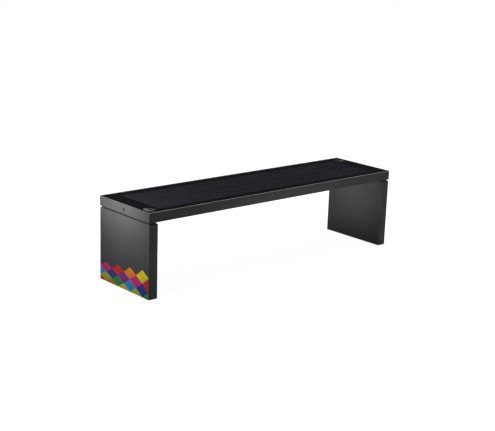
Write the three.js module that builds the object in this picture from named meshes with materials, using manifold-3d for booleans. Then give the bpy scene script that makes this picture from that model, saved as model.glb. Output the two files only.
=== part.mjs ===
// Solar charging bench: two slab legs carry a shallow steel tray, and a glazed solar lid
// closes the tray, hinged at the rear, held by two gas struts and locked at both ends.
// Millimetres. +X runs along the seat, -Y is the front, +Z is up, and the ground is Z = 0.
import * as THREE from "three";
import { mergeVertices } from "three/addons/utils/BufferGeometryUtils.js";
import Module from "manifold-3d";

const wasm = await Module();
wasm.setup();

// Overall sizes
const benchLength = 1800;
const benchDepth = 450;
const benchHeight = 465;
const seatHeight = 55;
const shadowGap = 9;
const legThickness = 55;
const legInset = 1.5;
const sheetWall = 3;

// Shared clearances and counts
const fitGap = 0.3;
const overrun = 5;
const roundSides = 16;
const smallSides = 12;
const leadSides = 8;
const bothSides = [-1, 1];

// Legs
const plateThickness = 8;
const spacerSetback = 8;
const boltRowOffset = 3;
const boltRailGap = 26.7;
const boltsPerLeg = 4;
const boltRadius = 4;
const boltHoleRadius = 4.5;
const boltHeadRadius = 6.5;
const boltHeadHeight = 4;
const boltTail = 4;
const socketRadius = 2.9;
const socketDepth = 2.5;
const weldNutRadius = 7;
const weldNutHeight = 6.5;
const anchorHoleRadius = 6;
const anchorSpacing = 300;
const accessHoleRadius = 19;

// Rails and seal inside the tray
const railHeight = 30;
const railWidth = 30;
const railWall = 2.5;
const endRailWidth = 15;
const sealWidth = 10;
const endSealWidth = 7;
const sealSetback = 8.7;
const endSealSetback = 3;
const rearSealSetback = 19.7;

// Drain holes and vents in the tray floor
const drainRadius = 4;
const drainInsetX = 90;
const drainInsetY = 50;
const ventLength = 60;
const ventWidth = 4;
const ventPitch = 11;
const ventCount = 5;

// Lid
const glassThickness = 8;
const glassBelowRim = 1;
const glassSideGap = 2;
const glassRearGap = 9.6;
const bondThickness = 2;
const bondWidth = 12;
const bondSetback = 3;
const flangeThickness = 3;
const flangeWidthFront = 33;
const flangeWidthEnd = 18;
const flangeRearOverhang = 2;
const flangeRearWidth = 32.4;
const skirtThickness = 3;
const skirtDepth = 14;
const rearWebDepth = 8;
const laminateThickness = 4;
const laminateEndInset = 88;
const laminateSideGap = 3;
const crossbarWidth = 20;
const crossbarDepth = 10.7;
const crossbarEndInset = 115;
const crossbarInnerShare = 1 / 3;

// Hinge
const hingeBarrelRadius = 3.5;
const hingePinRadius = 1.6;
const hingeBoreRadius = 1.85;
const hingeLeaf = 2;
const hingeEndInset = 50;
const hingeKnuckles = 15;
const hingeKnuckleGap = 0.6;
const hingeAxisBelowRim = 5;
const hingeLeafToBarrel = 0.6;
const trayLeafHeight = 12;
const lidLeafHeight = 9;

// Gas struts
const strutSideGap = 7;
const strutPinReach = 50;
const strutAnchorReach = 300;
const strutDrop = 30;
const strutCylinderRadius = 7.5;
const strutRodRadius = 3;
const strutEyeRadius = 6;
const strutEyeWidth = 6;
const strutStudRadius = 3;
const strutCylinderLength = 150;
const strutEyeNeck = 9;
const strutRodSetIn = 17;
const strutBoreSetIn = 10;
const strutBoreRadius = 3.4;
const lugThickness = 3;
const lugWidth = 20;
const lugTail = 7;
const bracketFoot = 24;
const bracketHeight = 21;
const openPivotGap = 0.5;

// Locks
const lockLevelBelowRim = 27.5;
const lockRadius = 5.5;
const lockLength = 14;
const lockPlugRadius = 4;
const lockPlugRecess = 1;
const lockDriveRadius = 2.6;
const lockDriveDepth = 5;
const driveSides = 3;
const camThickness = 2.5;
const camHubRadius = 5;
const camTongueWidth = 6;
const camReach = 12;
const camTailRadius = 2;
const lockNotchHalfWidth = 25;
const lockNotchDepth = 4.8;
const lockNotchDrop = 13.5;
const strikerWidth = 16;
const strikerNear = 6;
const strikerToeReach = 8.4;
const strikerToeSetIn = 2;
const strikerToeBelowLock = 3.6;
const strikerToeThickness = 3;

// Wireless chargers under the glass
const chargerEndInset = 52;
const chargerSideInset = 69.5;
const chargerRadius = 26;
const chargerHeight = 14;
const chargerWall = 2;
const chargerFloor = 2;
const coilInnerRadius = 9;
const coilOuterRadius = 22;
const coilHeight = 5;

// Battery
const batteryLength = 380;
const batteryWidth = 170;
const batteryHeight = 22;
const coverHeight = 3;
const coverLip = 2;
const strapWidth = 25;
const strapThickness = 1.5;
const strapSpread = 230;
const strapFoot = 18;

// Charge controller and terminals
const controllerPlace = 0;
const controllerLength = 150;
const controllerWidth = 100;
const heatSinkHeight = 12;
const heatSinkBase = 4;
const finCount = 9;
const finThickness = 3;
const controllerHeight = 14;
const caseSetIn = 2;
const terminalDistance = 50;
const terminalLength = 50;
const terminalWidth = 60;
const terminalHeight = 18;
const terminalStep = 7;
const terminalShelf = 14;
const terminalSlotLength = 14;
const terminalSlotWidth = 6;
const terminalSlotPitch = 11;
const terminalSlotCount = 5;

// Junction box on the back of the laminate
const junctionPlaceY = 90;
const junctionLength = 90;
const junctionWidth = 60;
const junctionHeight = 18;
const glandRadius = 6;
const glandLength = 10;

// Leads
const leadRadius = 2.5;
const thickLeadRadius = 3.5;
const batteryLeadPlace = 40;
const supplyLeadPlace = 5;
const hingeLeadSweep = 83;
const frontLeadSweep = 128;
const crossbarLeadDip = 1;
const batteryLeadSteps = 26;
const supplyLeadSteps = 14;
const hingeLeadSteps = 40;
const leftLeadSteps = 72;
const rightLeadSteps = 34;

// Levels and edges worked out from the sizes above
const halfLength = benchLength / 2;
const halfDepth = benchDepth / 2;
const trayBottom = benchHeight - seatHeight;
const trayFloor = trayBottom + sheetWall;
const legTop = trayBottom - shadowGap;
const headPlateBottom = legTop - plateThickness;
const innerHalfLength = halfLength - sheetWall;
const innerHalfDepth = halfDepth - sheetWall;
const railTop = trayFloor + railHeight;
const railOuterEnd = innerHalfLength - fitGap;
const railOuterSide = innerHalfDepth - fitGap;
const railInnerSide = railOuterSide - railWidth;
const glassTop = benchHeight - glassBelowRim;
const glassBottom = glassTop - glassThickness;
const flangeTop = glassBottom - bondThickness;
const flangeBottom = flangeTop - flangeThickness;
const sealTop = flangeBottom - fitGap;
const glassHalfLength = innerHalfLength - glassSideGap;
const glassFront = -(innerHalfDepth - glassSideGap);
const glassRear = innerHalfDepth - glassRearGap;
const flangeRear = glassRear + flangeRearOverhang;
const flangeInnerEnd = glassHalfLength - flangeWidthEnd;
const flangeInnerFront = glassFront + flangeWidthFront;
const flangeInnerRear = flangeRear - flangeRearWidth;
const skirtBottom = flangeTop - skirtDepth;
const crossbarOuterPlace = halfLength - crossbarEndInset;
const crossbarInnerPlace = crossbarOuterPlace * crossbarInnerShare;
const bayPlace = (crossbarOuterPlace + crossbarInnerPlace) / 2;
const lugFootPlace = crossbarOuterPlace + crossbarWidth / 2;
const laminateBottom = glassBottom - laminateThickness;
const crossbarTop = laminateBottom - fitGap;
const crossbarBottom = crossbarTop - crossbarDepth;
const hingeY = innerHalfDepth - fitGap - hingeBarrelRadius;
const hingeZ = benchHeight - hingeAxisBelowRim;
const lockZ = benchHeight - lockLevelBelowRim;
const hingeLength = benchLength - 2 * hingeEndInset;
const strutPlace = lugFootPlace + lugThickness + strutSideGap + strutEyeWidth / 2;
const strutZ = hingeZ - strutDrop;
const strutPinY = hingeY - strutPinReach;
const strutAnchorY = hingeY - strutAnchorReach;
const legCentre = halfLength - legInset - legThickness / 2;
const batteryPlace = -bayPlace;
const terminalPlace = controllerPlace + controllerLength / 2 + terminalDistance + terminalLength / 2;
const junctionPlaceX = bayPlace;

// Materials
function material(color, roughness, metalness) {
  return new THREE.MeshStandardMaterial({ color, roughness, metalness });
}
const finish = {
  shell: () => material(0x24252a, 0.5, 0.3),
  frame: () => material(0x33353a, 0.55, 0.3),
  zinc: () => material(0xa9abad, 0.4, 0.8),
  rubber: () => material(0x131313, 0.85, 0),
  glass: () => material(0x0d0e14, 0.06, 0),
  cells: () => material(0x1d1c24, 0.35, 0.1),
  bond: () => material(0x0b0b0b, 0.7, 0),
  plastic: () => material(0x1b1c1e, 0.6, 0),
  copper: () => material(0xb0683c, 0.35, 0.8),
  alloy: () => material(0x9c9ea2, 0.45, 0.7),
  battery: () => material(0x2c4a6e, 0.5, 0),
  green: () => material(0x3f7a4e, 0.6, 0),
};

// Solids are joined and cut as closed bodies and go back to buffer geometries at the end
function solid(geometry) {
  const bare = geometry.clone();
  bare.deleteAttribute("normal");
  bare.deleteAttribute("uv");
  const merged = mergeVertices(bare, 1e-4);
  return new wasm.Manifold(new wasm.Mesh({
    numProp: 3,
    vertProperties: merged.attributes.position.array,
    triVerts: new Uint32Array(merged.index.array),
  }));
}

function joined(parts) {
  return parts.reduce((all, next) => all.add(next));
}

function without(base, cuts) {
  return cuts.reduce((left, cut) => left.subtract(cut), base);
}

// A block between two opposite corners, given as ranges along X, Y and Z
function block(rangeX, rangeY, rangeZ) {
  const ranges = [rangeX, rangeY, rangeZ].map(([a, b]) => [Math.min(a, b), Math.max(a, b)]);
  const geometry = new THREE.BoxGeometry(...ranges.map(([low, high]) => high - low));
  const places = geometry.attributes.position;
  for (let i = 0; i < places.count; i++) {
    const corner = [places.getX(i), places.getY(i), places.getZ(i)];
    places.setXYZ(i, ...corner.map((value, axis) => ranges[axis][value > 0 ? 1 : 0]));
  }
  return solid(geometry);
}

// A round bar along one axis, from one level on that axis to another, centred on the other two
function bar(axis, radius, from, to, centre, sides = smallSides) {
  const geometry = new THREE.CylinderGeometry(radius, radius, Math.abs(to - from), sides);
  if (axis === "x") geometry.rotateZ(-Math.PI / 2);
  if (axis === "z") geometry.rotateX(Math.PI / 2);
  const middle = (from + to) / 2;
  const place = { x: [middle, ...centre], y: [centre[0], middle, centre[1]], z: [...centre, middle] };
  geometry.translate(...place[axis]);
  return solid(geometry);
}

// A frame in plan between two rectangles, each given as ranges along X and Y
function ring(outer, inner, rangeZ) {
  const through = [rangeZ[0] - overrun, rangeZ[1] + overrun];
  return block(...outer, rangeZ).subtract(block(...inner, through));
}

// A round lead along a smooth curve through its points
function lead(points, radius, steps) {
  const curve = new THREE.CatmullRomCurve3(points.map((p) => new THREE.Vector3(...p)));
  const section = new THREE.Shape();
  for (let i = 0; i < leadSides; i++) {
    const turn = (i / leadSides) * 2 * Math.PI;
    const corner = [radius * Math.cos(turn), radius * Math.sin(turn)];
    if (i === 0) section.moveTo(...corner);
    else section.lineTo(...corner);
  }
  return solid(new THREE.ExtrudeGeometry(section, { steps, extrudePath: curve, bevelEnabled: false }));
}

function piece(name, body, look) {
  const mesh = body.getMesh();
  const geometry = new THREE.BufferGeometry();
  geometry.setAttribute("position", new THREE.BufferAttribute(mesh.vertProperties, 3));
  geometry.setIndex(new THREE.BufferAttribute(mesh.triVerts, 1));
  geometry.computeVertexNormals();
  const result = new THREE.Mesh(geometry, look);
  result.name = name;
  return result;
}

function sideName(side) {
  return side < 0 ? "left" : "right";
}

// Places along Y of the bolts of one leg, spread over the floor between the long rails
const boltPitch = (2 * (railInnerSide - boltRailGap)) / (boltsPerLeg - 1);
const boltPlaces = Array.from({ length: boltsPerLeg }, (_, i) => (i - (boltsPerLeg - 1) / 2) * boltPitch);
const boltX = (side) => side * (legCentre - boltRowOffset);

// One leg: a folded sheet shell with a base plate and a head plate inside, and a spacer on top
function buildLeg(side) {
  const group = new THREE.Group();
  const halfThick = legThickness / 2;
  const halfWide = halfDepth - legInset;
  const centre = side * legCentre;
  const shellX = [centre - halfThick, centre + halfThick];
  const shellY = [-halfWide, halfWide];
  const insideX = [shellX[0] + sheetWall, shellX[1] - sheetWall];
  const insideY = [shellY[0] + sheetWall, shellY[1] - sheetWall];
  const plateX = [insideX[0] + fitGap, insideX[1] - fitGap];
  const plateY = [insideY[0] + fitGap, insideY[1] - fitGap];
  const boltBar = (y, radius, from, to) => bar("z", radius, from, to, [boltX(side), y]);

  group.add(piece(`${sideName(side)}_leg_shell`,
    ring([shellX, shellY], [insideX, insideY], [0, legTop]), finish.shell()));

  const anchors = bothSides.map((end) =>
    bar("z", anchorHoleRadius, -overrun, plateThickness + overrun, [centre, (end * anchorSpacing) / 2]));
  group.add(piece(`${sideName(side)}_leg_base_plate`,
    without(block(plateX, plateY, [0, plateThickness]), anchors), finish.zinc()));

  const access = bothSides.map((end) => bar("z", accessHoleRadius, headPlateBottom - overrun,
    legTop + overrun, [centre, end * boltPitch], roundSides));
  const nutBottom = headPlateBottom - weldNutHeight;
  const nuts = boltPlaces.map((y) => boltBar(y, weldNutRadius, nutBottom, headPlateBottom + overrun));
  const holes = boltPlaces.map((y) => boltBar(y, boltHoleRadius, nutBottom - overrun, legTop + overrun));
  group.add(piece(`${sideName(side)}_leg_head_plate`,
    without(joined([block(plateX, plateY, [headPlateBottom, legTop]), ...nuts]), [...access, ...holes]),
    finish.frame()));

  const spacerX = [shellX[0] + spacerSetback, shellX[1] - spacerSetback];
  const spacerY = [shellY[0] + spacerSetback, shellY[1] - spacerSetback];
  group.add(piece(`${sideName(side)}_leg_spacer`,
    without(block(spacerX, spacerY, [legTop, trayBottom]),
      boltPlaces.map((y) => boltBar(y, boltHoleRadius, legTop - overrun, trayBottom + overrun))),
    finish.frame()));

  boltPlaces.forEach((y, i) => {
    const bolt = piece(`${sideName(side)}_leg_bolt_${i + 1}`, boltBody(), finish.zinc());
    bolt.position.set(boltX(side), y, trayFloor);
    group.add(bolt);
  });
  return group;
}

// A low-head socket bolt, its head seated at its own zero level
function boltBody() {
  const reach = trayFloor - headPlateBottom + weldNutHeight + boltTail;
  const head = bar("z", boltHeadRadius, 0, boltHeadHeight, [0, 0]);
  const shank = bar("z", boltRadius, -reach, boltHeadHeight / 2, [0, 0]);
  const socket = bar("z", socketRadius, boltHeadHeight - socketDepth, boltHeadHeight + overrun, [0, 0], 6);
  return without(joined([head, shank]), [socket]);
}

// The tray: a folded floor with four walls, pierced for bolts, drains, vents and both locks
function buildTray() {
  const group = new THREE.Group();
  const deep = [trayBottom - overrun, trayFloor + overrun];
  const body = block([-halfLength, halfLength], [-halfDepth, halfDepth], [trayBottom, benchHeight])
    .subtract(block([-innerHalfLength, innerHalfLength], [-innerHalfDepth, innerHalfDepth],
      [trayFloor, benchHeight + overrun]));
  const cuts = [];
  for (const side of bothSides) {
    boltPlaces.forEach((y) => cuts.push(bar("z", boltHoleRadius, ...deep, [boltX(side), y])));
    const holeEnds = [side * (innerHalfLength - overrun), side * (halfLength + overrun)];
    cuts.push(bar("x", lockRadius + fitGap, ...holeEnds, [0, lockZ], roundSides));
    for (const end of bothSides) {
      const corner = [side * (halfLength - drainInsetX), end * (halfDepth - drainInsetY)];
      cuts.push(bar("z", drainRadius, ...deep, corner));
    }
  }
  for (let i = 0; i < ventCount; i++) {
    const y = (i - (ventCount - 1) / 2) * ventPitch - controllerWidth;
    const ventX = [controllerPlace - ventLength / 2, controllerPlace + ventLength / 2];
    cuts.push(block(ventX, [y - ventWidth / 2, y + ventWidth / 2], deep));
  }
  group.add(piece("seat_tray", without(body, cuts), finish.shell()));
  group.add(buildLongRail("front_rail", -1), buildLongRail("rear_rail", 1));
  bothSides.forEach((side) => group.add(buildEndRail(side)));

  const sealOuterX = railOuterEnd - endSealSetback;
  const sealFront = -(railOuterSide - sealSetback);
  const sealRear = railOuterSide - rearSealSetback;
  group.add(piece("lid_seal", ring(
    [[-sealOuterX, sealOuterX], [sealFront, sealRear]],
    [[endSealWidth - sealOuterX, sealOuterX - endSealWidth], [sealFront + sealWidth, sealRear - sealWidth]],
    [railTop, sealTop]), finish.rubber()));
  return group;
}

// A square tube that stiffens one long wall of the tray
function buildLongRail(name, side) {
  const y = [side * railInnerSide, side * railOuterSide];
  const inside = [y[0] + side * railWall, y[1] - side * railWall];
  const body = block([-railOuterEnd, railOuterEnd], y, [trayFloor, railTop])
    .subtract(block([-halfLength, halfLength], inside, [trayFloor + railWall, railTop - railWall]));
  return piece(name, body, finish.frame());
}

// The tube across one end of the tray, notched round the lock and its striker
function buildEndRail(side) {
  const halfRun = railInnerSide - fitGap;
  const x = [side * (railOuterEnd - endRailWidth), side * railOuterEnd];
  const inside = [x[0] + side * railWall, x[1] - side * railWall];
  const notch = block([x[0] - side * overrun, x[0] + side * lockNotchDepth],
    [-lockNotchHalfWidth, lockNotchHalfWidth], [lockZ - lockNotchDrop, railTop + overrun]);
  const hole = bar("x", lockRadius + fitGap, x[0], x[1] + side * overrun, [0, lockZ], roundSides);
  const body = without(block(x, [-halfRun, halfRun], [trayFloor, railTop]),
    [block(inside, [-halfDepth, halfDepth], [trayFloor + railWall, railTop - railWall]), notch, hole]);
  return piece(`${sideName(side)}_end_rail`, body, finish.frame());
}

// Both hinge leaves with their knuckles, and the pin through them
function buildHinge() {
  const tray = new THREE.Group();
  const lid = new THREE.Group();
  const pitch = hingeLength / hingeKnuckles;
  const leafTop = hingeZ - hingeBarrelRadius - hingeLeafToBarrel;
  const halfHinge = hingeLength / 2;
  const leaves = [
    { face: hingeY + hingeBarrelRadius - hingeLeaf, bottom: leafTop - trayLeafHeight, parts: [] },
    { face: hingeY - hingeBarrelRadius, bottom: leafTop - lidLeafHeight, parts: [] },
  ];
  for (const leaf of leaves) {
    leaf.y = [leaf.face, leaf.face + hingeLeaf];
    leaf.parts.push(block([-halfHinge, halfHinge], leaf.y, [leaf.bottom, leafTop]));
  }
  for (let i = 0; i < hingeKnuckles; i++) {
    const start = i * pitch - halfHinge;
    const x = [start + hingeKnuckleGap / 2, start + pitch - hingeKnuckleGap / 2];
    const leaf = leaves[i % 2];
    const root = block(x, leaf.y, [leafTop - hingeLeaf, hingeZ]);
    const barrel = bar("x", hingeBarrelRadius, ...x, [hingeY, hingeZ]);
    leaf.parts.push(root, barrel);
  }
  const bore = bar("x", hingeBoreRadius, -halfLength, halfLength, [hingeY, hingeZ]);
  const [trayLeaf, lidLeaf] = leaves.map((leaf) => joined(leaf.parts).subtract(bore));
  const pin = bar("x", hingePinRadius, -halfHinge, halfHinge, [hingeY, hingeZ]);
  tray.add(piece("tray_hinge_leaf", trayLeaf, finish.frame()));
  tray.add(piece("hinge_pin", pin, finish.zinc()));
  lid.add(piece("lid_hinge_leaf", lidLeaf, finish.frame()));
  return { tray, lid };
}

// The welded lid frame: a flange ring, a skirt along the front and the rear between the outer
// crossbars, a rear web for the hinge, and four crossbars, the outer two with lugs for the struts
function lidFrameBody() {
  const outer = [[-glassHalfLength, glassHalfLength], [glassFront, flangeRear]];
  const inner = [[-flangeInnerEnd, flangeInnerEnd], [flangeInnerFront, flangeInnerRear]];
  const skirtX = [-lugFootPlace, lugFootPlace];
  const skirtZ = [skirtBottom, flangeTop];
  const webX = [-hingeLength / 2, hingeLength / 2];
  const parts = [
    ring(outer, inner, [flangeBottom, flangeTop]),
    block(skirtX, [flangeInnerFront - skirtThickness, flangeInnerFront], skirtZ),
    block(skirtX, [flangeInnerRear, flangeInnerRear + skirtThickness], skirtZ),
    block(webX, [flangeRear - skirtThickness, flangeRear], [flangeTop - rearWebDepth, flangeTop]),
  ];
  const acrossY = [flangeInnerFront - skirtThickness / 2, flangeInnerRear + skirtThickness / 2];
  for (const side of bothSides) {
    for (const place of [crossbarInnerPlace, crossbarOuterPlace]) {
      const x = [side * place - crossbarWidth / 2, side * place + crossbarWidth / 2];
      parts.push(block(x, acrossY, [crossbarBottom, crossbarTop]));
    }
    const lugFoot = side * lugFootPlace;
    const lugFace = lugFoot + side * lugThickness;
    parts.push(
      block([lugFoot, lugFace], [strutAnchorY - lugWidth / 2, strutAnchorY + lugWidth / 2],
        [strutZ - lugTail, crossbarTop]),
      block([lugFoot - side * skirtThickness, lugFoot],
        [strutAnchorY - lugWidth / 2, strutAnchorY + lugWidth / 2], [crossbarBottom, crossbarTop]),
      bar("x", strutStudRadius, lugFoot, side * (strutPlace + strutEyeWidth / 2 + lugThickness),
        [strutAnchorY, strutZ]));
  }
  return joined(parts);
}

// The lid: glass bonded on the frame, the cell laminate under the glass, and its wiring
function buildLid() {
  const group = new THREE.Group();
  const laminateX = [laminateEndInset - halfLength, halfLength - laminateEndInset];
  const laminateY = [flangeInnerFront + laminateSideGap, flangeInnerRear - laminateSideGap];
  group.add(piece("top_glass", block([-glassHalfLength, glassHalfLength], [glassFront, glassRear],
    [glassBottom, glassTop]), finish.glass()));
  group.add(piece("lid_frame", lidFrameBody(), finish.frame()));
  group.add(piece("solar_laminate", block(laminateX, laminateY, [laminateBottom, glassBottom]),
    finish.cells()));

  const bondX = glassHalfLength - bondSetback;
  const bondY = [glassFront + bondSetback, glassRear - bondSetback];
  group.add(piece("glass_bond", ring([[-bondX, bondX], bondY],
    [[bondWidth - bondX, bondX - bondWidth], [bondY[0] + bondWidth, bondY[1] - bondWidth]],
    [flangeTop, glassBottom]), finish.bond()));

  const boxX = [junctionPlaceX - junctionLength / 2, junctionPlaceX + junctionLength / 2];
  const boxY = [junctionPlaceY - junctionWidth / 2, junctionPlaceY + junctionWidth / 2];
  const boxTop = laminateBottom - fitGap;
  group.add(piece("panel_junction_box", joined([
    block(boxX, boxY, [boxTop - junctionHeight, boxTop]),
    ...junctionGlands.map(({ end, y }) => bar("x", glandRadius, junctionPlaceX,
      junctionPlaceX + end * (junctionLength / 2 + glandLength), [y, junctionLeadZ])),
  ]), finish.plastic()));

  for (const side of bothSides) group.add(buildCharger(side), buildStriker(side));
  return group;
}

// Places of the three cable glands on the junction box
const junctionLeadZ = laminateBottom - fitGap - junctionHeight / 2;
const junctionGlands = [
  { end: -1, y: junctionPlaceY - junctionWidth / 4 },
  { end: -1, y: junctionPlaceY + junctionWidth / 4 },
  { end: 1, y: junctionPlaceY },
];

// A charger: an open cup bonded under the glass, with its coil inside and its lead
function buildCharger(side) {
  const group = new THREE.Group();
  const centre = [side * (halfLength - chargerEndInset), side * (halfDepth - chargerSideInset)];
  const top = glassBottom - fitGap;
  const bottom = top - chargerHeight;
  const upright = (radius, from, to) => bar("z", radius, from, to, centre, roundSides);
  const cup = upright(chargerRadius, bottom, top)
    .subtract(upright(chargerRadius - chargerWall, bottom + chargerFloor, top + overrun));
  group.add(piece(`${sideName(side)}_charger_housing`, cup, finish.plastic()));

  const coilBottom = bottom + chargerFloor + fitGap;
  const coilTop = coilBottom + coilHeight;
  const coil = upright(coilOuterRadius, coilBottom, coilTop)
    .subtract(upright(coilInnerRadius, coilBottom - overrun, coilTop + overrun));
  group.add(piece(`${sideName(side)}_charger_coil`, coil, finish.copper()));
  return group;
}

// A striker plate under the lid's end flange, with a toe that the lock cam holds down
function buildStriker(side) {
  const back = flangeInnerEnd + fitGap;
  const y = [strikerNear, strikerNear + strikerWidth];
  const toeTop = lockZ - strikerToeBelowLock;
  const toeBottom = toeTop - strikerToeThickness;
  const toeY = [y[0] + strikerToeSetIn, y[1] - strikerToeSetIn];
  const plateX = [side * back, side * (back + strikerToeThickness)];
  const plate = block(plateX, y, [toeBottom, flangeBottom]);
  const toe = block([side * back, side * (back + strikerToeReach)], toeY, [toeBottom, toeTop]);
  return piece(`${sideName(side)}_striker`, joined([plate, toe]), finish.zinc());
}

// A cam lock through one end wall: housing, turning plug and cam, drawn unlocked
function buildLock(side) {
  const fixed = new THREE.Group();
  const turning = new THREE.Group();
  const centre = [0, lockZ];
  const outer = side * halfLength;
  const inner = outer - side * lockLength;
  const camNear = inner - side * 2 * fitGap;
  const camFar = camNear - side * camThickness;
  fixed.add(piece(`${sideName(side)}_lock_housing`, bar("x", lockRadius, outer, inner, centre, roundSides)
    .subtract(bar("x", lockPlugRadius + fitGap, outer + side * overrun, inner - side * overrun, centre)),
    finish.zinc()));

  const plugFace = outer - side * lockPlugRecess;
  const driveEnd = plugFace - side * lockDriveDepth;
  const plug = joined([
    bar("x", lockPlugRadius, plugFace, inner - side * fitGap, centre),
    bar("x", camTailRadius, outer - (side * lockLength) / 2, camFar - side * fitGap, centre),
  ]).subtract(bar("x", lockDriveRadius, driveEnd, outer + side * overrun, centre, driveSides));
  turning.add(piece(`${sideName(side)}_lock_plug`, plug, finish.zinc()));

  const tongueY = [-camTongueWidth / 2, camTongueWidth / 2];
  const tongue = block([camNear, camFar], tongueY, [lockZ, lockZ + camReach]);
  const cam = joined([bar("x", camHubRadius, camNear, camFar, centre), tongue])
    .subtract(bar("x", camTailRadius + fitGap, camNear + side * overrun, camFar - side * overrun, centre));
  turning.add(piece(`${sideName(side)}_lock_cam`, cam, finish.zinc()));
  return { fixed, turning };
}

// A gas strut beside one crossbar, its cylinder pinned to the lid and its rod eye at the tray
function buildStrut(side) {
  const cylinder = new THREE.Group();
  const rod = new THREE.Group();
  const tray = new THREE.Group();
  const x = side * strutPlace;
  const eyeX = [x - strutEyeWidth / 2, x + strutEyeWidth / 2];
  const along = (radius, from, to, sides) => bar("y", radius, from, to, [x, strutZ], sides);
  const cylinderStart = strutAnchorY + strutEyeNeck;
  const cylinderEnd = cylinderStart + strutCylinderLength;

  const upperEye = bar("x", strutEyeRadius, ...eyeX, [strutAnchorY, strutZ])
    .subtract(bar("x", strutStudRadius + fitGap, x - overrun, x + overrun, [strutAnchorY, strutZ]));
  const neck = along(strutRodRadius, strutAnchorY + (strutStudRadius + strutEyeRadius) / 2,
    cylinderStart + strutBoreSetIn / 2);
  const tube = along(strutCylinderRadius, cylinderStart, cylinderEnd, roundSides)
    .subtract(along(strutBoreRadius, cylinderStart + strutBoreSetIn, cylinderEnd + overrun));
  cylinder.add(piece(`${sideName(side)}_strut_cylinder`, joined([upperEye, neck, tube]), finish.plastic()));

  const shaft = along(strutRodRadius, cylinderStart + strutRodSetIn, strutPinY - strutEyeRadius / 2);
  const lowerEye = bar("x", strutEyeRadius, ...eyeX, [strutPinY, strutZ]);
  rod.add(piece(`${sideName(side)}_strut_rod`, joined([shaft, lowerEye]), finish.alloy()));

  const bracketFace = x - side * (strutEyeWidth / 2 + openPivotGap);
  const plateX = [side * lugFootPlace, side * (lugFootPlace + lugThickness)];
  const plateY = [strutPinY - lugWidth / 2, strutPinY + lugWidth / 2];
  tray.add(piece(`${sideName(side)}_strut_bracket`, joined([
    block(plateX, plateY, [trayFloor, trayFloor + bracketHeight]),
    block([plateX[0] - side * bracketFoot, plateX[1]], plateY, [trayFloor, trayFloor + lugThickness]),
    bar("x", strutStudRadius, plateX[0], bracketFace, [strutPinY, strutZ]),
  ]), finish.frame()));
  return { cylinder, rod, tray };
}

// The battery: a moulded case and its cover, held down by two straps
function buildBattery() {
  const group = new THREE.Group();
  const x = [batteryPlace - batteryLength / 2, batteryPlace + batteryLength / 2];
  const y = [-batteryWidth / 2, batteryWidth / 2];
  const caseTop = trayFloor + batteryHeight;
  const coverTop = caseTop + coverHeight;
  const coverX = [x[0] - coverLip, x[1] + coverLip];
  const coverY = [y[0] - coverLip, y[1] + coverLip];
  group.add(piece("battery_case", block(x, y, [trayFloor, caseTop]), finish.battery()));
  group.add(piece("battery_cover", block(coverX, coverY, [caseTop, coverTop]), finish.plastic()));
  bothSides.forEach((side, i) => {
    const middle = batteryPlace + (side * strapSpread) / 2;
    const strapX = [middle - strapWidth / 2, middle + strapWidth / 2];
    const inside = coverY[1] + fitGap;
    const reach = inside + strapThickness;
    const under = coverTop + fitGap;
    const across = [strapX[0] - overrun, strapX[1] + overrun];
    const band = block(strapX, [-reach, reach], [trayFloor, under + strapThickness])
      .subtract(block(across, [-inside, inside], [trayFloor - overrun, under]));
    const feet = bothSides.map((end) =>
      block(strapX, [end * inside, end * (reach + strapFoot)], [trayFloor, trayFloor + strapThickness]));
    group.add(piece(`battery_strap_${i + 1}`, joined([band, ...feet]), finish.zinc()));
  });
  return group;
}

// The charge controller on its finned heat sink, and the terminal block beside it
function buildController() {
  const group = new THREE.Group();
  const x = [controllerPlace - controllerLength / 2, controllerPlace + controllerLength / 2];
  const y = [-controllerWidth / 2, controllerWidth / 2];
  const sinkTop = trayFloor + heatSinkHeight;
  const sinkParts = [block(x, y, [sinkTop - heatSinkBase, sinkTop])];
  for (let i = 0; i < finCount; i++) {
    const start = y[0] + (i * (controllerWidth - finThickness)) / (finCount - 1);
    sinkParts.push(block(x, [start, start + finThickness], [trayFloor, sinkTop]));
  }
  group.add(piece("controller_heat_sink", joined(sinkParts), finish.alloy()));
  const caseX = [x[0] + caseSetIn, x[1] - caseSetIn];
  const caseY = [y[0] + caseSetIn, y[1] - caseSetIn];
  const caseBody = block(caseX, caseY, [sinkTop, sinkTop + controllerHeight]);
  group.add(piece("controller_case", caseBody, finish.plastic()));

  const blockX = [terminalPlace - terminalLength / 2, terminalPlace + terminalLength / 2];
  const blockY = [-terminalWidth / 2, terminalWidth / 2];
  const terminalTop = trayFloor + terminalHeight;
  const cutZ = [terminalTop - terminalStep, terminalTop + overrun];
  const cutY = [blockY[0] - overrun, blockY[1] + overrun];
  const cuts = bothSides.map((side) => {
    const shelf = [terminalLength / 2 - terminalShelf, terminalLength / 2 + overrun];
    return block(shelf.map((reach) => terminalPlace + side * reach), cutY, cutZ);
  });
  const slotX = [terminalPlace - terminalSlotLength / 2, terminalPlace + terminalSlotLength / 2];
  for (let i = 0; i < terminalSlotCount; i++) {
    const middle = (i - (terminalSlotCount - 1) / 2) * terminalSlotPitch;
    cuts.push(block(slotX, [middle - terminalSlotWidth / 2, middle + terminalSlotWidth / 2], cutZ));
  }
  const terminals = without(block(blockX, blockY, [trayFloor, terminalTop]), cuts);
  group.add(piece("terminal_block", terminals, finish.green()));
  return group;
}

// Points on the way from one corner of a lead's route to the next, each with its share along
// every axis
function route(from, to, shares) {
  return shares.map((along) => along.map((share, axis) => from[axis] + share * (to[axis] - from[axis])));
}

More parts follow.
